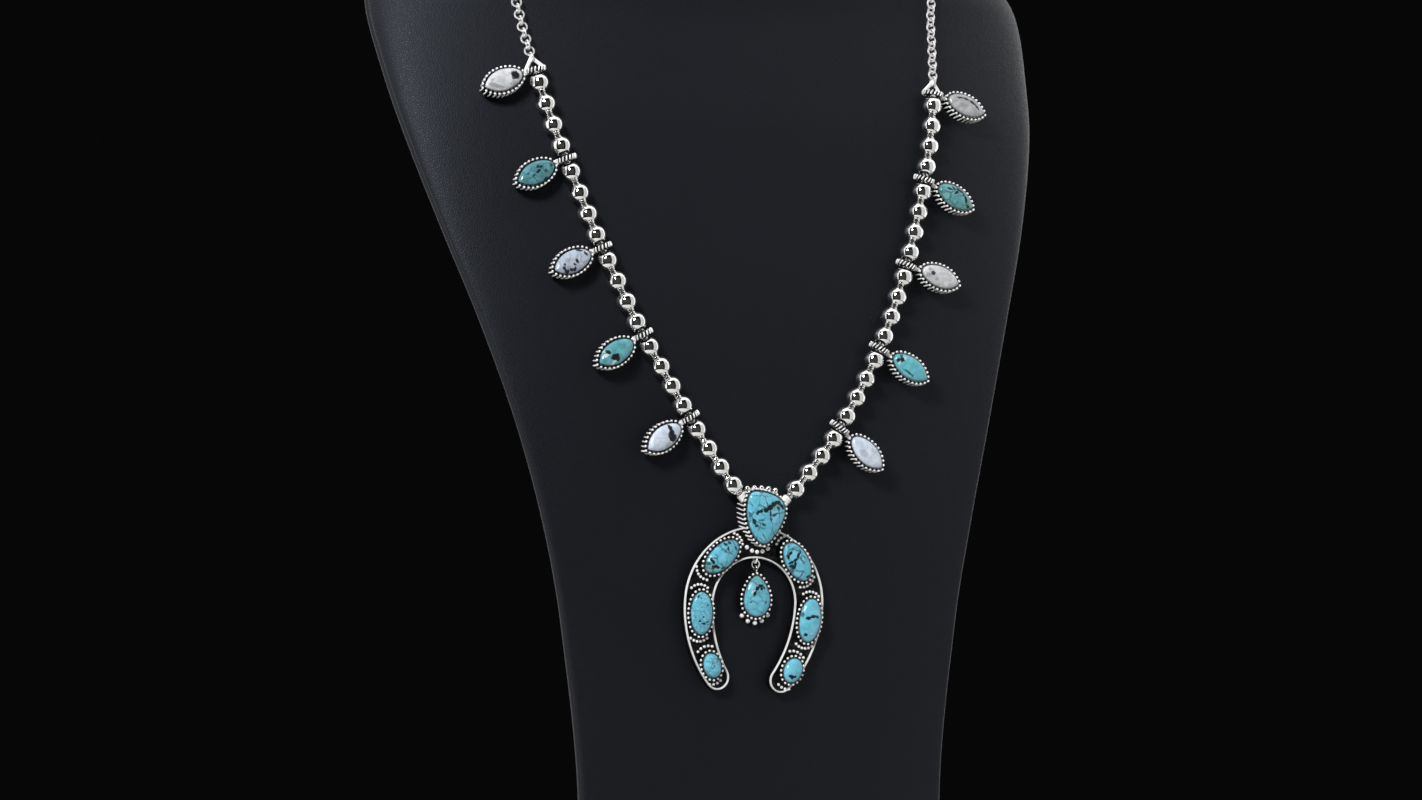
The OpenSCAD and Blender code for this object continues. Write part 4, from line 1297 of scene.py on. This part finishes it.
def stone_place(across, up, lean):
    """The place of a cup on the crescent's bed."""
    return NAJA_PLACE @ moved(across, up - NAJA_DROP, NAJA_BED) @ turn_deg(lean, "Z")


naja_parts = [run_tree(PLATE_TREE, outline_mesh(crescent(PLATE_IN)), PATINA, NAJA_PLACE, Thickness=NAJA_BED)]
rim = outline_mesh(crescent(RIM_IN), NAJA_BED + RIM_UP)
naja_parts.append(run_tree(STRIP_TREE, rim, RAISED, NAJA_PLACE, **RIM_STRIP))
for across, up, long, wide, lean, above, below in NAJA_STONES:
    place = stone_place(across, up, lean)
    naja_parts += setting(oval(long, wide), -CUP_SUNK, NAJA_CUP_H, False, place)
    bows = end_bow(long, wide, above, 1) + end_bow(long, wide, below, -1)
    naja_parts.append(drops_at(bows, RAINDROP_SHOW, RAISED, place))
naja_parts += setting(shield(), 0, SHIELD_CUP_H, True, NAJA_PLACE @ moved(0, shield_up, 0))
crown = row_of(CROWN_DROPS, CROWN_STEP, shield_up + SHIELD_H / 2 + CUP_WALL + CROWN_OUT, CROWN_BOW)
smile = row_of(SMILE_DROPS, SMILE_STEP, shield_up - SHIELD_H / 2 - CUP_WALL - SMILE_OUT, SMILE_BOW)
naja_parts.append(drops_at(crown, CROWN_DROP_R, BRIGHT, NAJA_PLACE))
naja_parts.append(drops_at(smile, SMILE_DROP_R, RAISED, NAJA_PLACE))
eye_y = -NAJA_DROP + inner_r - EYE_R * EYE_IN
eye_z = (NAJA_BED + RIM_H) / 2
eye_spot = moved(0, eye_y, eye_z) @ turn_deg(90, "Y")
naja_parts.append(wire_rings([eye_spot], EYE_R, JUMP_WIRE, RAISED, NAJA_PLACE))
tube_r = TUBE_D / 2
tube_end = TUBE_L / 2
tube = [(TUBE_BORE_R, -tube_end), (tube_r - TUBE_SOFT, -tube_end), (tube_r, TUBE_SOFT - tube_end)]
tube += [(radius, -height) for radius, height in reversed(tube)]
for side in (-1, 1):
    naja_parts.append(lathe(tube, TUBE_STEPS, RAISED, on_route(side, tube_end) @ turn_deg(90, "X")))
put_in("naja_crescent", naja_parts, "naja")

# %% [markdown]
# ## The drop
# A pear-shaped stone swings inside the crescent on a small jump ring. Its setting is made as the
# blossoms' ones, with a thin plate behind it and five raindrops under its round end.

# %% Drop setting and jump ring
DROP_W = 8.4
DROP_H = 12.3
DROP_CUP_H = 2.3
JUMP_R = 1.25
PEAR_PLATE_T = 0.7
PEAR_PLATE_OUT = 0.4
PEAR_DROP_STEP = 22
PEAR_DROP_OUT = 0.9
PEAR_TAPER = 0.24
PEAR_WAIST = 0.08

naja_eye = Vector((
    -NAJA_SHIFT + eye_y * sin_deg(NAJA_TILT), naja_y - eye_z, NAJA_Z + eye_y * cos_deg(NAJA_TILT),
))
DROP_PLACE = Matrix.Translation(naja_eye) @ turn_deg(90, "X")
hang_step = EYE_R + JUMP_R - JUMP_WIRE - GAP
drop_up = -2 * hang_step - EYE_R - CUP_WALL - DROP_H / 2


def pear(long, wide):
    """Narrow at +Y and round at -Y."""
    points = []
    for k in range(FINE):
        s = sin_deg(360 * k / FINE)
        share = 1 - PEAR_TAPER * s - PEAR_WAIST * s * s
        points.append((wide / 2 * cos_deg(360 * k / FINE) * share, long / 2 * s))
    return points


def drop_ring(up, radius, spin):
    return wire_rings([moved(0, up, 0) @ turn_deg(spin, "Y")], radius, JUMP_WIRE, BRIGHT, DROP_PLACE)


pear_place = DROP_PLACE @ moved(0, drop_up, -DROP_CUP_H / 2)
drop_parts = setting(pear(DROP_H, DROP_W), 0, DROP_CUP_H, False, pear_place)
plate_line = outline_mesh(grow(pear(DROP_H, DROP_W), CUP_WALL + PEAR_PLATE_OUT))
drop_parts.append(run_tree(PLATE_TREE, plate_line, PATINA, pear_place, Thickness=PEAR_PLATE_T))
pear_drops = []
out = CUP_WALL + PEAR_DROP_OUT
for k in range(SMILE_DROPS):
    angle = -90 + (k - (SMILE_DROPS - 1) / 2) * PEAR_DROP_STEP
    x = (DROP_W / 2 + out) * cos_deg(angle)
    pear_drops.append((x, (DROP_H / 2 + out) * sin_deg(angle), PEAR_PLATE_T))
drop_parts.append(drops_at(pear_drops, SMILE_DROP_R, RAISED, pear_place))
drop_parts.append(drop_ring(-2 * hang_step, EYE_R, 90))
put_in("drop_bezel", drop_parts, "drop_setting")
put_in("drop_jump_ring", [drop_ring(-hang_step, JUMP_R, 0)], "drop_link")

# %% [markdown]
# ## The stones
# Every stone is a cabochon: flat below, with a straight edge in its seat and a polished dome above.
# Turquoise and white stone are never plain. Dark matrix runs through them in veins, webs and blots, and
# the ground wanders between blue and green, so each stone gets a finish of its own.
# The pattern lies in the stone's own measure, kept at its points before the stone is set, so that the
# marks sit where they should whichever way the stone is turned.

# %% Cabochons
DOME_H = 1.4
SHIELD_DOME = 0.4
DOME_STEPS = 11
DOME_ARC = 86
DOME_FULLNESS = 0.9
GIRDLE_SOFT = 0.1


def cabochon(points, dome, material, place):
    edge = grow(points, -STONE_PLAY)
    girdle = SEAT_DEPTH - STONE_PLAY
    layers = [(1, 0), (1, girdle - GIRDLE_SOFT)]
    for k in range(DOME_STEPS + 1):
        angle = DOME_ARC * k / DOME_STEPS
        layers.append((cos_deg(angle) ** DOME_FULLNESS, girdle + dome * sin_deg(angle)))
    stone = loft([[(x * share, y * share, z) for x, y in edge] for share, z in layers], material)
    spots = stone.attributes.new("stone_place", "FLOAT_VECTOR", "POINT")
    spots.data.foreach_set("vector", [value for vertex in stone.vertices for value in vertex.co])
    stone.transform(place)
    return stone


# %% [markdown]
# ## The stones' finishes
# The ground is two colours mixed by soft clouds. Over it come fine flecks and a web of thin cracks,
# and then the marks, each a stretched oval whose edge is shaken by noise until it looks like
# a vein or a blot. Most are the stone's own matrix; a few are painted shade, a dark shadow line along
# the seat's edge or a grey shadow patch. A mark is given by its tone, its place, its direction, half its
# length, half its width, in millimetres and degrees, and how strongly it shows. Where a mark is dark,
# it shines less and lies a little deeper than the polished ground.

# %% Stone finish
TURQUOISE = ((0.10, 0.44, 0.585, 1), (0.205, 0.58, 0.735, 1))
SEA_BLUE = ((0.085, 0.38, 0.45, 1), (0.16, 0.50, 0.57, 1))
TEAL = ((0.06, 0.25, 0.28, 1), (0.14, 0.40, 0.44, 1))
DEEP_TEAL = ((0.05, 0.18, 0.21, 1), (0.115, 0.31, 0.35, 1))
GREENISH = ((0.065, 0.26, 0.28, 1), (0.155, 0.38, 0.39, 1))
WHITE = ((0.43, 0.44, 0.46, 1), (0.66, 0.67, 0.68, 1))
MILKY = ((0.27, 0.28, 0.29, 1), (0.48, 0.49, 0.50, 1))
BLUE_WHITE = ((0.46, 0.53, 0.63, 1), (0.68, 0.74, 0.82, 1))
PALE_BLUE = ((0.31, 0.37, 0.46, 1), (0.50, 0.55, 0.63, 1))
TONES = {
    "dark": (0.010, 0.012, 0.016, 1),
    "grey": (0.17, 0.18, 0.19, 1),
    "moss": (0.16, 0.22, 0.13, 1),
    "pale": (0.62, 0.66, 0.66, 1),
}
MARK_SPREAD = 2.1
MARK_DEEP = 40
MARK_MIDDLE = 3.5
MARK_EDGE = (0.65, 1.05)
SHAKE = 1.1
APART = Vector((7.3, 3.1, 5.7))
GROUND_EDGE = (0.35, 0.65)
FLECKS_START = 0.74
FLECKS_FULL = 0.80
WEB_EDGE = (0.02, 0.10)
WEB_BROKEN = (0.42, 0.56)
DARK_POWER = 2.2
STONE_ROUGH = (0.09, 0.34)
STONE_SHINE = (0.2, 0.45)
STONE_BUMP = 0.25
CLOUD_SCALE = 0.42
SHAKE_SCALE = 1.4
GRAIN_SCALE = 2.6
WEB_SCALE = 0.33
MARK_RELIEF = 0.00006


def marks_mask(tree, shaken, marks):
    """How strongly any of the marks shows at a place. The noise eats at an oval's edge, so each is
    drawn wider than its row says, by MARK_SPREAD; MARK_DEEP lets it go right through the dome."""
    mask = None
    for x, y, way, half_long, half_wide, depth in marks:
        spot = add(tree, "ShaderNodeMapping", {
            "Vector": shaken, "Location": (x, y, MARK_MIDDLE), "Rotation": (0, 0, math.radians(way)),
            "Scale": (half_long, half_wide * MARK_SPREAD, MARK_DEEP),
        }, vector_type="TEXTURE")
        far = add(tree, "ShaderNodeVectorMath", {0: spot.outputs[0]}, operation="LENGTH").outputs["Value"]
        mark = ranged(tree, far, depth, 0.0, *MARK_EDGE, interpolation_type="SMOOTHSTEP")
        mask = mark if mask is None else reckon(tree, "MAXIMUM", mask, mark)
    return mask


def moved_by(tree, first, second):
    return add(tree, "ShaderNodeVectorMath", {0: first, 1: second}, operation="ADD").outputs[0]


def stone_finish(name, ground, flecks, web, marks, seed):
    """Ground, flecks and web, then the marks, the stone's veins and blots and a few painted shadow lines; the
    seed moves the noise for each stone.
    """
    material, tree, shader = finish(name)
    where = add(tree, "ShaderNodeAttribute", attribute_name="stone_place").outputs["Vector"]
    own = add(tree, "ShaderNodeMapping", {"Vector": where, "Location": APART * seed}).outputs[0]
    clouds = noise(tree, own, CLOUD_SCALE, 5.0, 0.6)["Fac"]
    color = mixed(tree, ranged(tree, clouds, 0.0, 1.0, *GROUND_EDGE), *ground)
    shake = noise(tree, own, SHAKE_SCALE, 4.0, 0.6)["Color"]
    shift = add(tree, "ShaderNodeVectorMath", {0: shake, 1: (0.5, 0.5, 0.5)}, operation="SUBTRACT").outputs[0]
    jolt = add(tree, "ShaderNodeVectorMath", {0: shift, 3: SHAKE}, operation="SCALE").outputs[0]
    shaken = moved_by(tree, where, jolt)
    grain = noise(tree, own, GRAIN_SCALE, 3.0)["Fac"]
    dark = ranged(tree, grain, 0.0, 0.8, FLECKS_START - 0.16 * flecks, FLECKS_FULL - 0.12 * flecks)
    line = ranged(tree, edge_distance(tree, moved_by(tree, own, jolt), WEB_SCALE), web, 0.0, *WEB_EDGE)
    broken = ranged(tree, clouds, 0.0, 1.0, *WEB_BROKEN)
    dark = reckon(tree, "MAXIMUM", dark, reckon(tree, "MULTIPLY", line, broken))
    for tone in ("moss", "grey", "pale"):
        mask = marks_mask(tree, shaken, marks.get(tone, []))
        if mask is not None:
            color = mixed(tree, mask, color, TONES[tone])
    # The dark list holds the stone's veins and, on a few stones, painted shadow lines along the seat's edge.
    veins_and_painted_shadow = marks_mask(tree, shaken, marks.get("dark", []))
    if veins_and_painted_shadow is not None:
        dark = reckon(tree, "MAXIMUM", dark, veins_and_painted_shadow)
    ground_left = reckon(tree, "POWER", reckon(tree, "SUBTRACT", 1.0, dark), DARK_POWER)
    color = mixed(tree, ground_left, TONES["dark"], color)
    rough = ranged(tree, dark, *STONE_ROUGH)
    dress(tree, shader, color, rough, dark, STONE_BUMP, MARK_RELIEF, sunk=True)
    tree.links.new(ranged(tree, ground_left, *STONE_SHINE), shader.inputs["Specular IOR Level"])
    return material


# %% [markdown]
# ## Setting the stones
# Each stone now gets its finish and its place: five blossoms a side, six stones on the crescent, the
# shield stone over its top and the pear in the middle.

# %% Stones of the blossoms
BLOSSOM_STONES = {
    -1: [
        (WHITE, 0.6, 0.12, {
            "dark": [(-3.7, 0.1, 35, 1.4, 0.75, 1.0), (-2.7, 0.7, 60, 0.7, 0.3, 0.6)],
            "grey": [
                (3.2, 1.3, -35, 1.6, 0.3, 0.6), (4.4, 0.3, -40, 1.3, 0.3, 0.6),
                (2.2, 2.0, -20, 1.2, 0.3, 0.5), (3.6, -0.9, 20, 1.0, 0.25, 0.5),
                (-2.0, 2.4, 10, 1.6, 0.5, 0.4),
            ],
        }),
        (DEEP_TEAL, 0.5, 0.3, {"dark": [
            (-0.3, 0.0, 10, 0.9, 0.24, 0.85), (-1.8, -1.0, 20, 0.7, 0.2, 0.75),
            (-0.9, -1.3, -20, 0.6, 0.2, 0.75), (-1.7, 2.8, 10, 0.9, 0.25, 0.65),
            (-5.1, -0.2, 60, 0.7, 0.25, 0.6), (-2.5, 0.7, -10, 0.8, 0.3, 0.5),
            (1.7, 0.5, 15, 0.7, 0.2, 0.5), (3.0, -0.7, -15, 0.6, 0.2, 0.45),
        ]}),
        (PALE_BLUE, 0.3, 0.2, {
            "dark": [
                (-0.8, 0.4, 0, 0.42, 0.38, 0.9), (0.3, 1.1, -60, 0.7, 0.2, 0.65),
                (0.8, 2.3, 45, 0.8, 0.26, 0.85), (1.8, 2.1, -20, 0.8, 0.26, 0.75),
                (3.4, 1.9, -40, 0.9, 0.28, 0.85), (3.8, 0.8, -80, 0.8, 0.22, 0.75),
                (3.2, -0.2, 60, 0.5, 0.2, 0.65), (-4.6, -0.5, 100, 0.9, 0.24, 0.8),
                # painted shadow: the next mark is the shade along the stone's lower-left edge, not a vein
                (-3.3, -2.2, -35, 1.3, 0.25, 0.75),
            ],
            "grey": [(1.8, -0.8, 20, 0.9, 0.3, 0.4), (2.4, 1.2, 20, 0.9, 0.3, 0.4)],
        }),
        (TEAL, 0.15, 0.1, {
            "dark": [
                (1.5, 0.8, 80, 1.0, 0.75, 1.0), (1.0, 1.9, 20, 0.8, 0.3, 0.85),
                (2.6, -1.5, -60, 1.0, 0.35, 0.85),
            ],
            "pale": [
                (2.7, 2.0, 5, 1.3, 0.24, 0.9), (3.5, -0.9, 5, 1.2, 0.27, 0.95),
                (3.3, -2.2, -30, 0.9, 0.25, 0.7),
            ],
        }),
        (BLUE_WHITE, 0.1, 0.1, {
            "dark": [
                (-1.9, 1.5, 75, 1.3, 0.7, 1.0), (-2.3, 0.1, 68, 1.3, 0.5, 1.0),
                (-2.9, -1.5, 80, 1.2, 0.32, 1.0), (-0.9, 1.5, 110, 0.8, 0.2, 0.75),
                (-1.2, 0.2, 60, 0.9, 0.24, 0.7),
            ],
            # painted shadow: this grey patch is shade falling on the stone, not matrix
            "grey": [(0.7, 2.4, 10, 1.2, 0.4, 0.45)],
        }),
    ],
    1: [
        (MILKY, 0.3, 0.1, {"dark": [
            (-3.0, 1.1, 15, 1.3, 0.2, 0.8), (-1.0, 1.4, 0, 1.3, 0.22, 0.85),
            (1.2, 1.1, -12, 1.4, 0.22, 0.85), (3.2, 0.3, -30, 1.3, 0.2, 0.7),
        ], "grey": [(-4.2, -0.6, 40, 1.0, 0.3, 0.45), (-1.5, -0.9, 10, 1.8, 0.25, 0.3)]}),
        (GREENISH, 0.3, 0.35, {"dark": [
            (0.0, 2.1, 0, 1.6, 0.27, 0.85), (-0.9, 0.8, 65, 1.0, 0.24, 0.85),
            (-3.3, 0.7, 15, 1.1, 0.22, 0.75), (2.9, 0.6, -55, 1.3, 0.27, 0.9),
            (4.5, -0.8, -15, 0.8, 0.25, 0.75), (-2.2, 1.6, -30, 0.9, 0.2, 0.65),
            (1.6, 1.6, -70, 0.6, 0.2, 0.65),
        ], "moss": [(4.2, -1.2, 10, 1.3, 0.9, 0.4)]}),
        (WHITE, 0.1, 0.1, {
            "dark": [(-3.1, -0.2, 80, 0.8, 0.35, 0.7)],
            "grey": [
                (-4.3, -1.2, 30, 0.9, 0.4, 0.5), (-4.4, 0.8, 60, 0.6, 0.3, 0.45),
                (-0.6, 2.2, 20, 0.7, 0.25, 0.4), (-1.4, -1.6, 60, 0.7, 0.25, 0.4),
            ],
        }),
        (SEA_BLUE, 0.1, 0.1, {
            "dark": [
                (-3.9, 0.2, 20, 0.8, 0.4, 0.9), (-4.8, -0.6, -50, 0.7, 0.3, 0.85),
                # painted shadow: the second mark on the next line is a faint shadow line along the stone's
                # bottom edge
                (-4.6, 1.2, 60, 0.6, 0.3, 0.65), (0.0, -2.1, -4, 2.2, 0.18, 0.5),
            ],
            "pale": [(-4.2, -0.9, -60, 0.9, 0.22, 0.8), (-3.5, 1.0, 50, 0.9, 0.25, 0.7)],
        }),
        (BLUE_WHITE, 0.0, 0.0, {"grey": [(-1.0, -1.4, 10, 1.8, 0.5, 0.3), (0.9, 1.5, 20, 1.3, 0.4, 0.18)]}),
    ],
}
for side, word in SIDE_NAMES.items():
    for i, (ground, flecks, web, marks) in enumerate(BLOSSOM_STONES[side]):
        name = f"blossom_stone_{word}_{i + 1}"
        material = stone_finish(name, ground, flecks, web, marks, i + 1 + 10 * side)
        height = blossom_low + BLOSSOM_CUP_H - SEAT_DEPTH + STONE_PLAY
        seat = blossom_place(side, i) @ moved(blossom_mid, 0, height)
        stone = cabochon(marquise(BLOSSOM_L, BLOSSOM_W), DOME_H, material, seat)
        put_in(f"blossom_cabochon_{word}_{i + 1}", [stone], f"stone_{word}_{i + 1}")

# %% Stones of the naja and the drop
NAJA_MARKS = [
    (TURQUOISE, 0.5, 0.5, {
        "dark": [
            (-2.4, 2.9, 20, 0.9, 0.22, 0.8), (-0.9, 2.6, -30, 0.8, 0.2, 0.7),
            (-1.9, 4.2, 40, 0.7, 0.3, 0.6), (0.7, 4.7, -15, 0.9, 0.25, 0.55),
            (-1.4, -3.6, -5, 1.3, 0.22, 0.9), (0.9, -3.6, 25, 1.2, 0.24, 0.9),
            (2.5, -2.2, 60, 0.9, 0.25, 0.6), (0.2, -4.5, -60, 0.7, 0.3, 0.75),
            (-1.6, -5.0, 30, 0.9, 0.28, 0.55),
        ],
        "moss": [(0.1, -5.6, 0, 1.7, 1.1, 0.55), (-1.8, 4.4, 20, 1.2, 0.6, 0.3)],
    }),
    (TURQUOISE, 1.0, 0.2, {"dark": [
        (-1.0, -2.3, -40, 0.6, 0.16, 0.75), (0.1, -3.1, 0, 0.9, 0.18, 0.8),
        (1.4, -2.5, 40, 0.6, 0.16, 0.65), (-0.1, -1.1, 50, 0.4, 0.15, 0.6), (-1.4, 5.0, 60, 0.5, 0.2, 0.65),
        (-0.6, 4.6, 30, 0.4, 0.15, 0.55), (1.4, 2.4, -20, 0.5, 0.14, 0.5),
    ]}),
    (TURQUOISE, 0.8, 0.25, {
        "dark": [
            (0.0, -0.1, 60, 0.4, 0.15, 0.65), (-0.9, -0.5, 0, 0.3, 0.12, 0.5),
            (1.8, 1.4, -50, 0.6, 0.2, 0.45),
        ],
        "moss": [(1.7, 0.6, 80, 1.3, 0.5, 0.3)],
    }),
    (TURQUOISE, 0.3, 0.5, {"dark": [
        (-2.1, 3.1, 50, 0.9, 0.22, 0.9), (-0.9, 3.8, 15, 0.8, 0.22, 0.85), (-2.3, 1.3, -10, 1.0, 0.22, 0.9),
        (-0.8, 1.2, -15, 0.9, 0.24, 0.95), (0.8, 1.8, 35, 1.1, 0.24, 0.95), (2.0, 2.3, 20, 0.6, 0.2, 0.75),
        (-2.6, -0.1, -60, 1.2, 0.3, 0.9), (-1.4, 0.3, 50, 1.1, 0.2, 0.8), (0.2, -5.6, 0, 0.8, 0.24, 0.75),
    ]}),
    (TURQUOISE, 0.1, 0.0, {
        "dark": [
            (-1.3, 0.6, 15, 0.9, 0.28, 0.95), (0.2, 1.2, 15, 1.2, 0.22, 0.9),
            # painted shadow: the second mark on the next line is a shadow line down the stone's left side,
            # not a vein
            (1.7, 1.3, -5, 0.8, 0.2, 0.85), (-3.0, 1.5, 85, 1.0, 0.16, 0.5),
            (-1.2, -4.5, -10, 0.7, 0.24, 0.8),
        ],
        "pale": [(0.8, -3.9, 10, 1.0, 0.16, 0.45)],
    }),
    (TURQUOISE, 0.1, 0.0, {"dark": [
        (-0.2, -2.0, 5, 1.1, 0.32, 0.95), (0.9, -1.6, 50, 0.6, 0.25, 0.75),
        (0.1, -2.5, -20, 0.6, 0.2, 0.75),
    ]}),
]
SHIELD_MARKS = {
    "dark": [
        (-0.6, 2.5, 35, 1.0, 0.42, 1.0), (0.7, 3.3, 40, 1.1, 0.45, 1.0), (1.9, 4.4, 35, 1.1, 0.4, 0.85),
        (3.4, 5.0, 0, 1.3, 0.35, 0.85), (5.0, 3.9, -40, 1.5, 0.3, 0.85), (-2.5, 2.0, 20, 1.0, 0.3, 0.85),
        (-3.4, 1.4, 60, 0.6, 0.25, 0.75), (0.9, 1.5, -80, 1.1, 0.22, 0.65), (1.2, -0.2, -70, 0.9, 0.2, 0.6),
        (2.3, 1.2, 30, 1.0, 0.22, 0.6), (-4.1, -1.2, -60, 1.2, 0.26, 0.8),
        (-3.2, -2.4, 20, 0.7, 0.25, 0.75), (-1.1, -1.9, -30, 0.9, 0.2, 0.55),
        (-1.9, -0.6, 0, 1.4, 0.16, 0.4), (3.6, 3.2, -60, 0.9, 0.25, 0.6),
    ],
    "moss": [(2.3, 3.8, 30, 1.6, 0.8, 0.5), (3.6, 4.2, 10, 1.2, 0.5, 0.4)],
}
PEAR_MARKS = {
    "dark": [
        (-1.3, 0.9, 60, 0.9, 0.24, 0.9), (-0.5, 2.4, 58, 1.0, 0.27, 0.95), (0.8, 3.2, 5, 1.0, 0.3, 0.95),
        (0.9, 2.3, -60, 0.6, 0.3, 0.85), (1.9, 2.6, -40, 0.6, 0.2, 0.65), (-2.6, -1.7, 30, 0.5, 0.15, 0.55),
        (2.4, -1.9, 70, 0.5, 0.15, 0.55),
    ],
    "moss": [(-0.4, 4.6, 10, 1.8, 1.2, 0.35)],
    "pale": [(-1.9, 1.4, 70, 0.8, 0.3, 0.8)],
}
for k, (across, up, long, wide, lean, above, below) in enumerate(NAJA_STONES):
    ground, flecks, web, marks = NAJA_MARKS[k]
    material = stone_finish(f"crescent_stone_{k + 1}", ground, flecks, web, marks, k + 21)
    seat = stone_place(across, up, lean) @ moved(0, 0, NAJA_CUP_H - SEAT_DEPTH + STONE_PLAY)
    stone = cabochon(oval(long, wide), DOME_H, material, seat)
    put_in(f"crescent_cabochon_{k + 1}", [stone], f"naja_stone_{k + 1}")

top_finish = stone_finish("shield_stone", TURQUOISE, 0.7, 0.5, SHIELD_MARKS, 31)
top_seat = NAJA_PLACE @ moved(0, shield_up, SHIELD_CUP_H - SEAT_DEPTH + STONE_PLAY)
top_cabochon = cabochon(shield(), DOME_H + SHIELD_DOME, top_finish, top_seat)
put_in("shield_cabochon", [top_cabochon], "top_stone")
pear_finish = stone_finish("pear_stone", TURQUOISE, 0.4, 0.3, PEAR_MARKS, 32)
pear_seat = DROP_PLACE @ moved(0, drop_up, DROP_CUP_H / 2 - SEAT_DEPTH + STONE_PLAY)
pear_cabochon = cabochon(pear(DROP_H, DROP_W), DOME_H, pear_finish, pear_seat)
put_in("drop_cabochon", [pear_cabochon], "drop_stone")
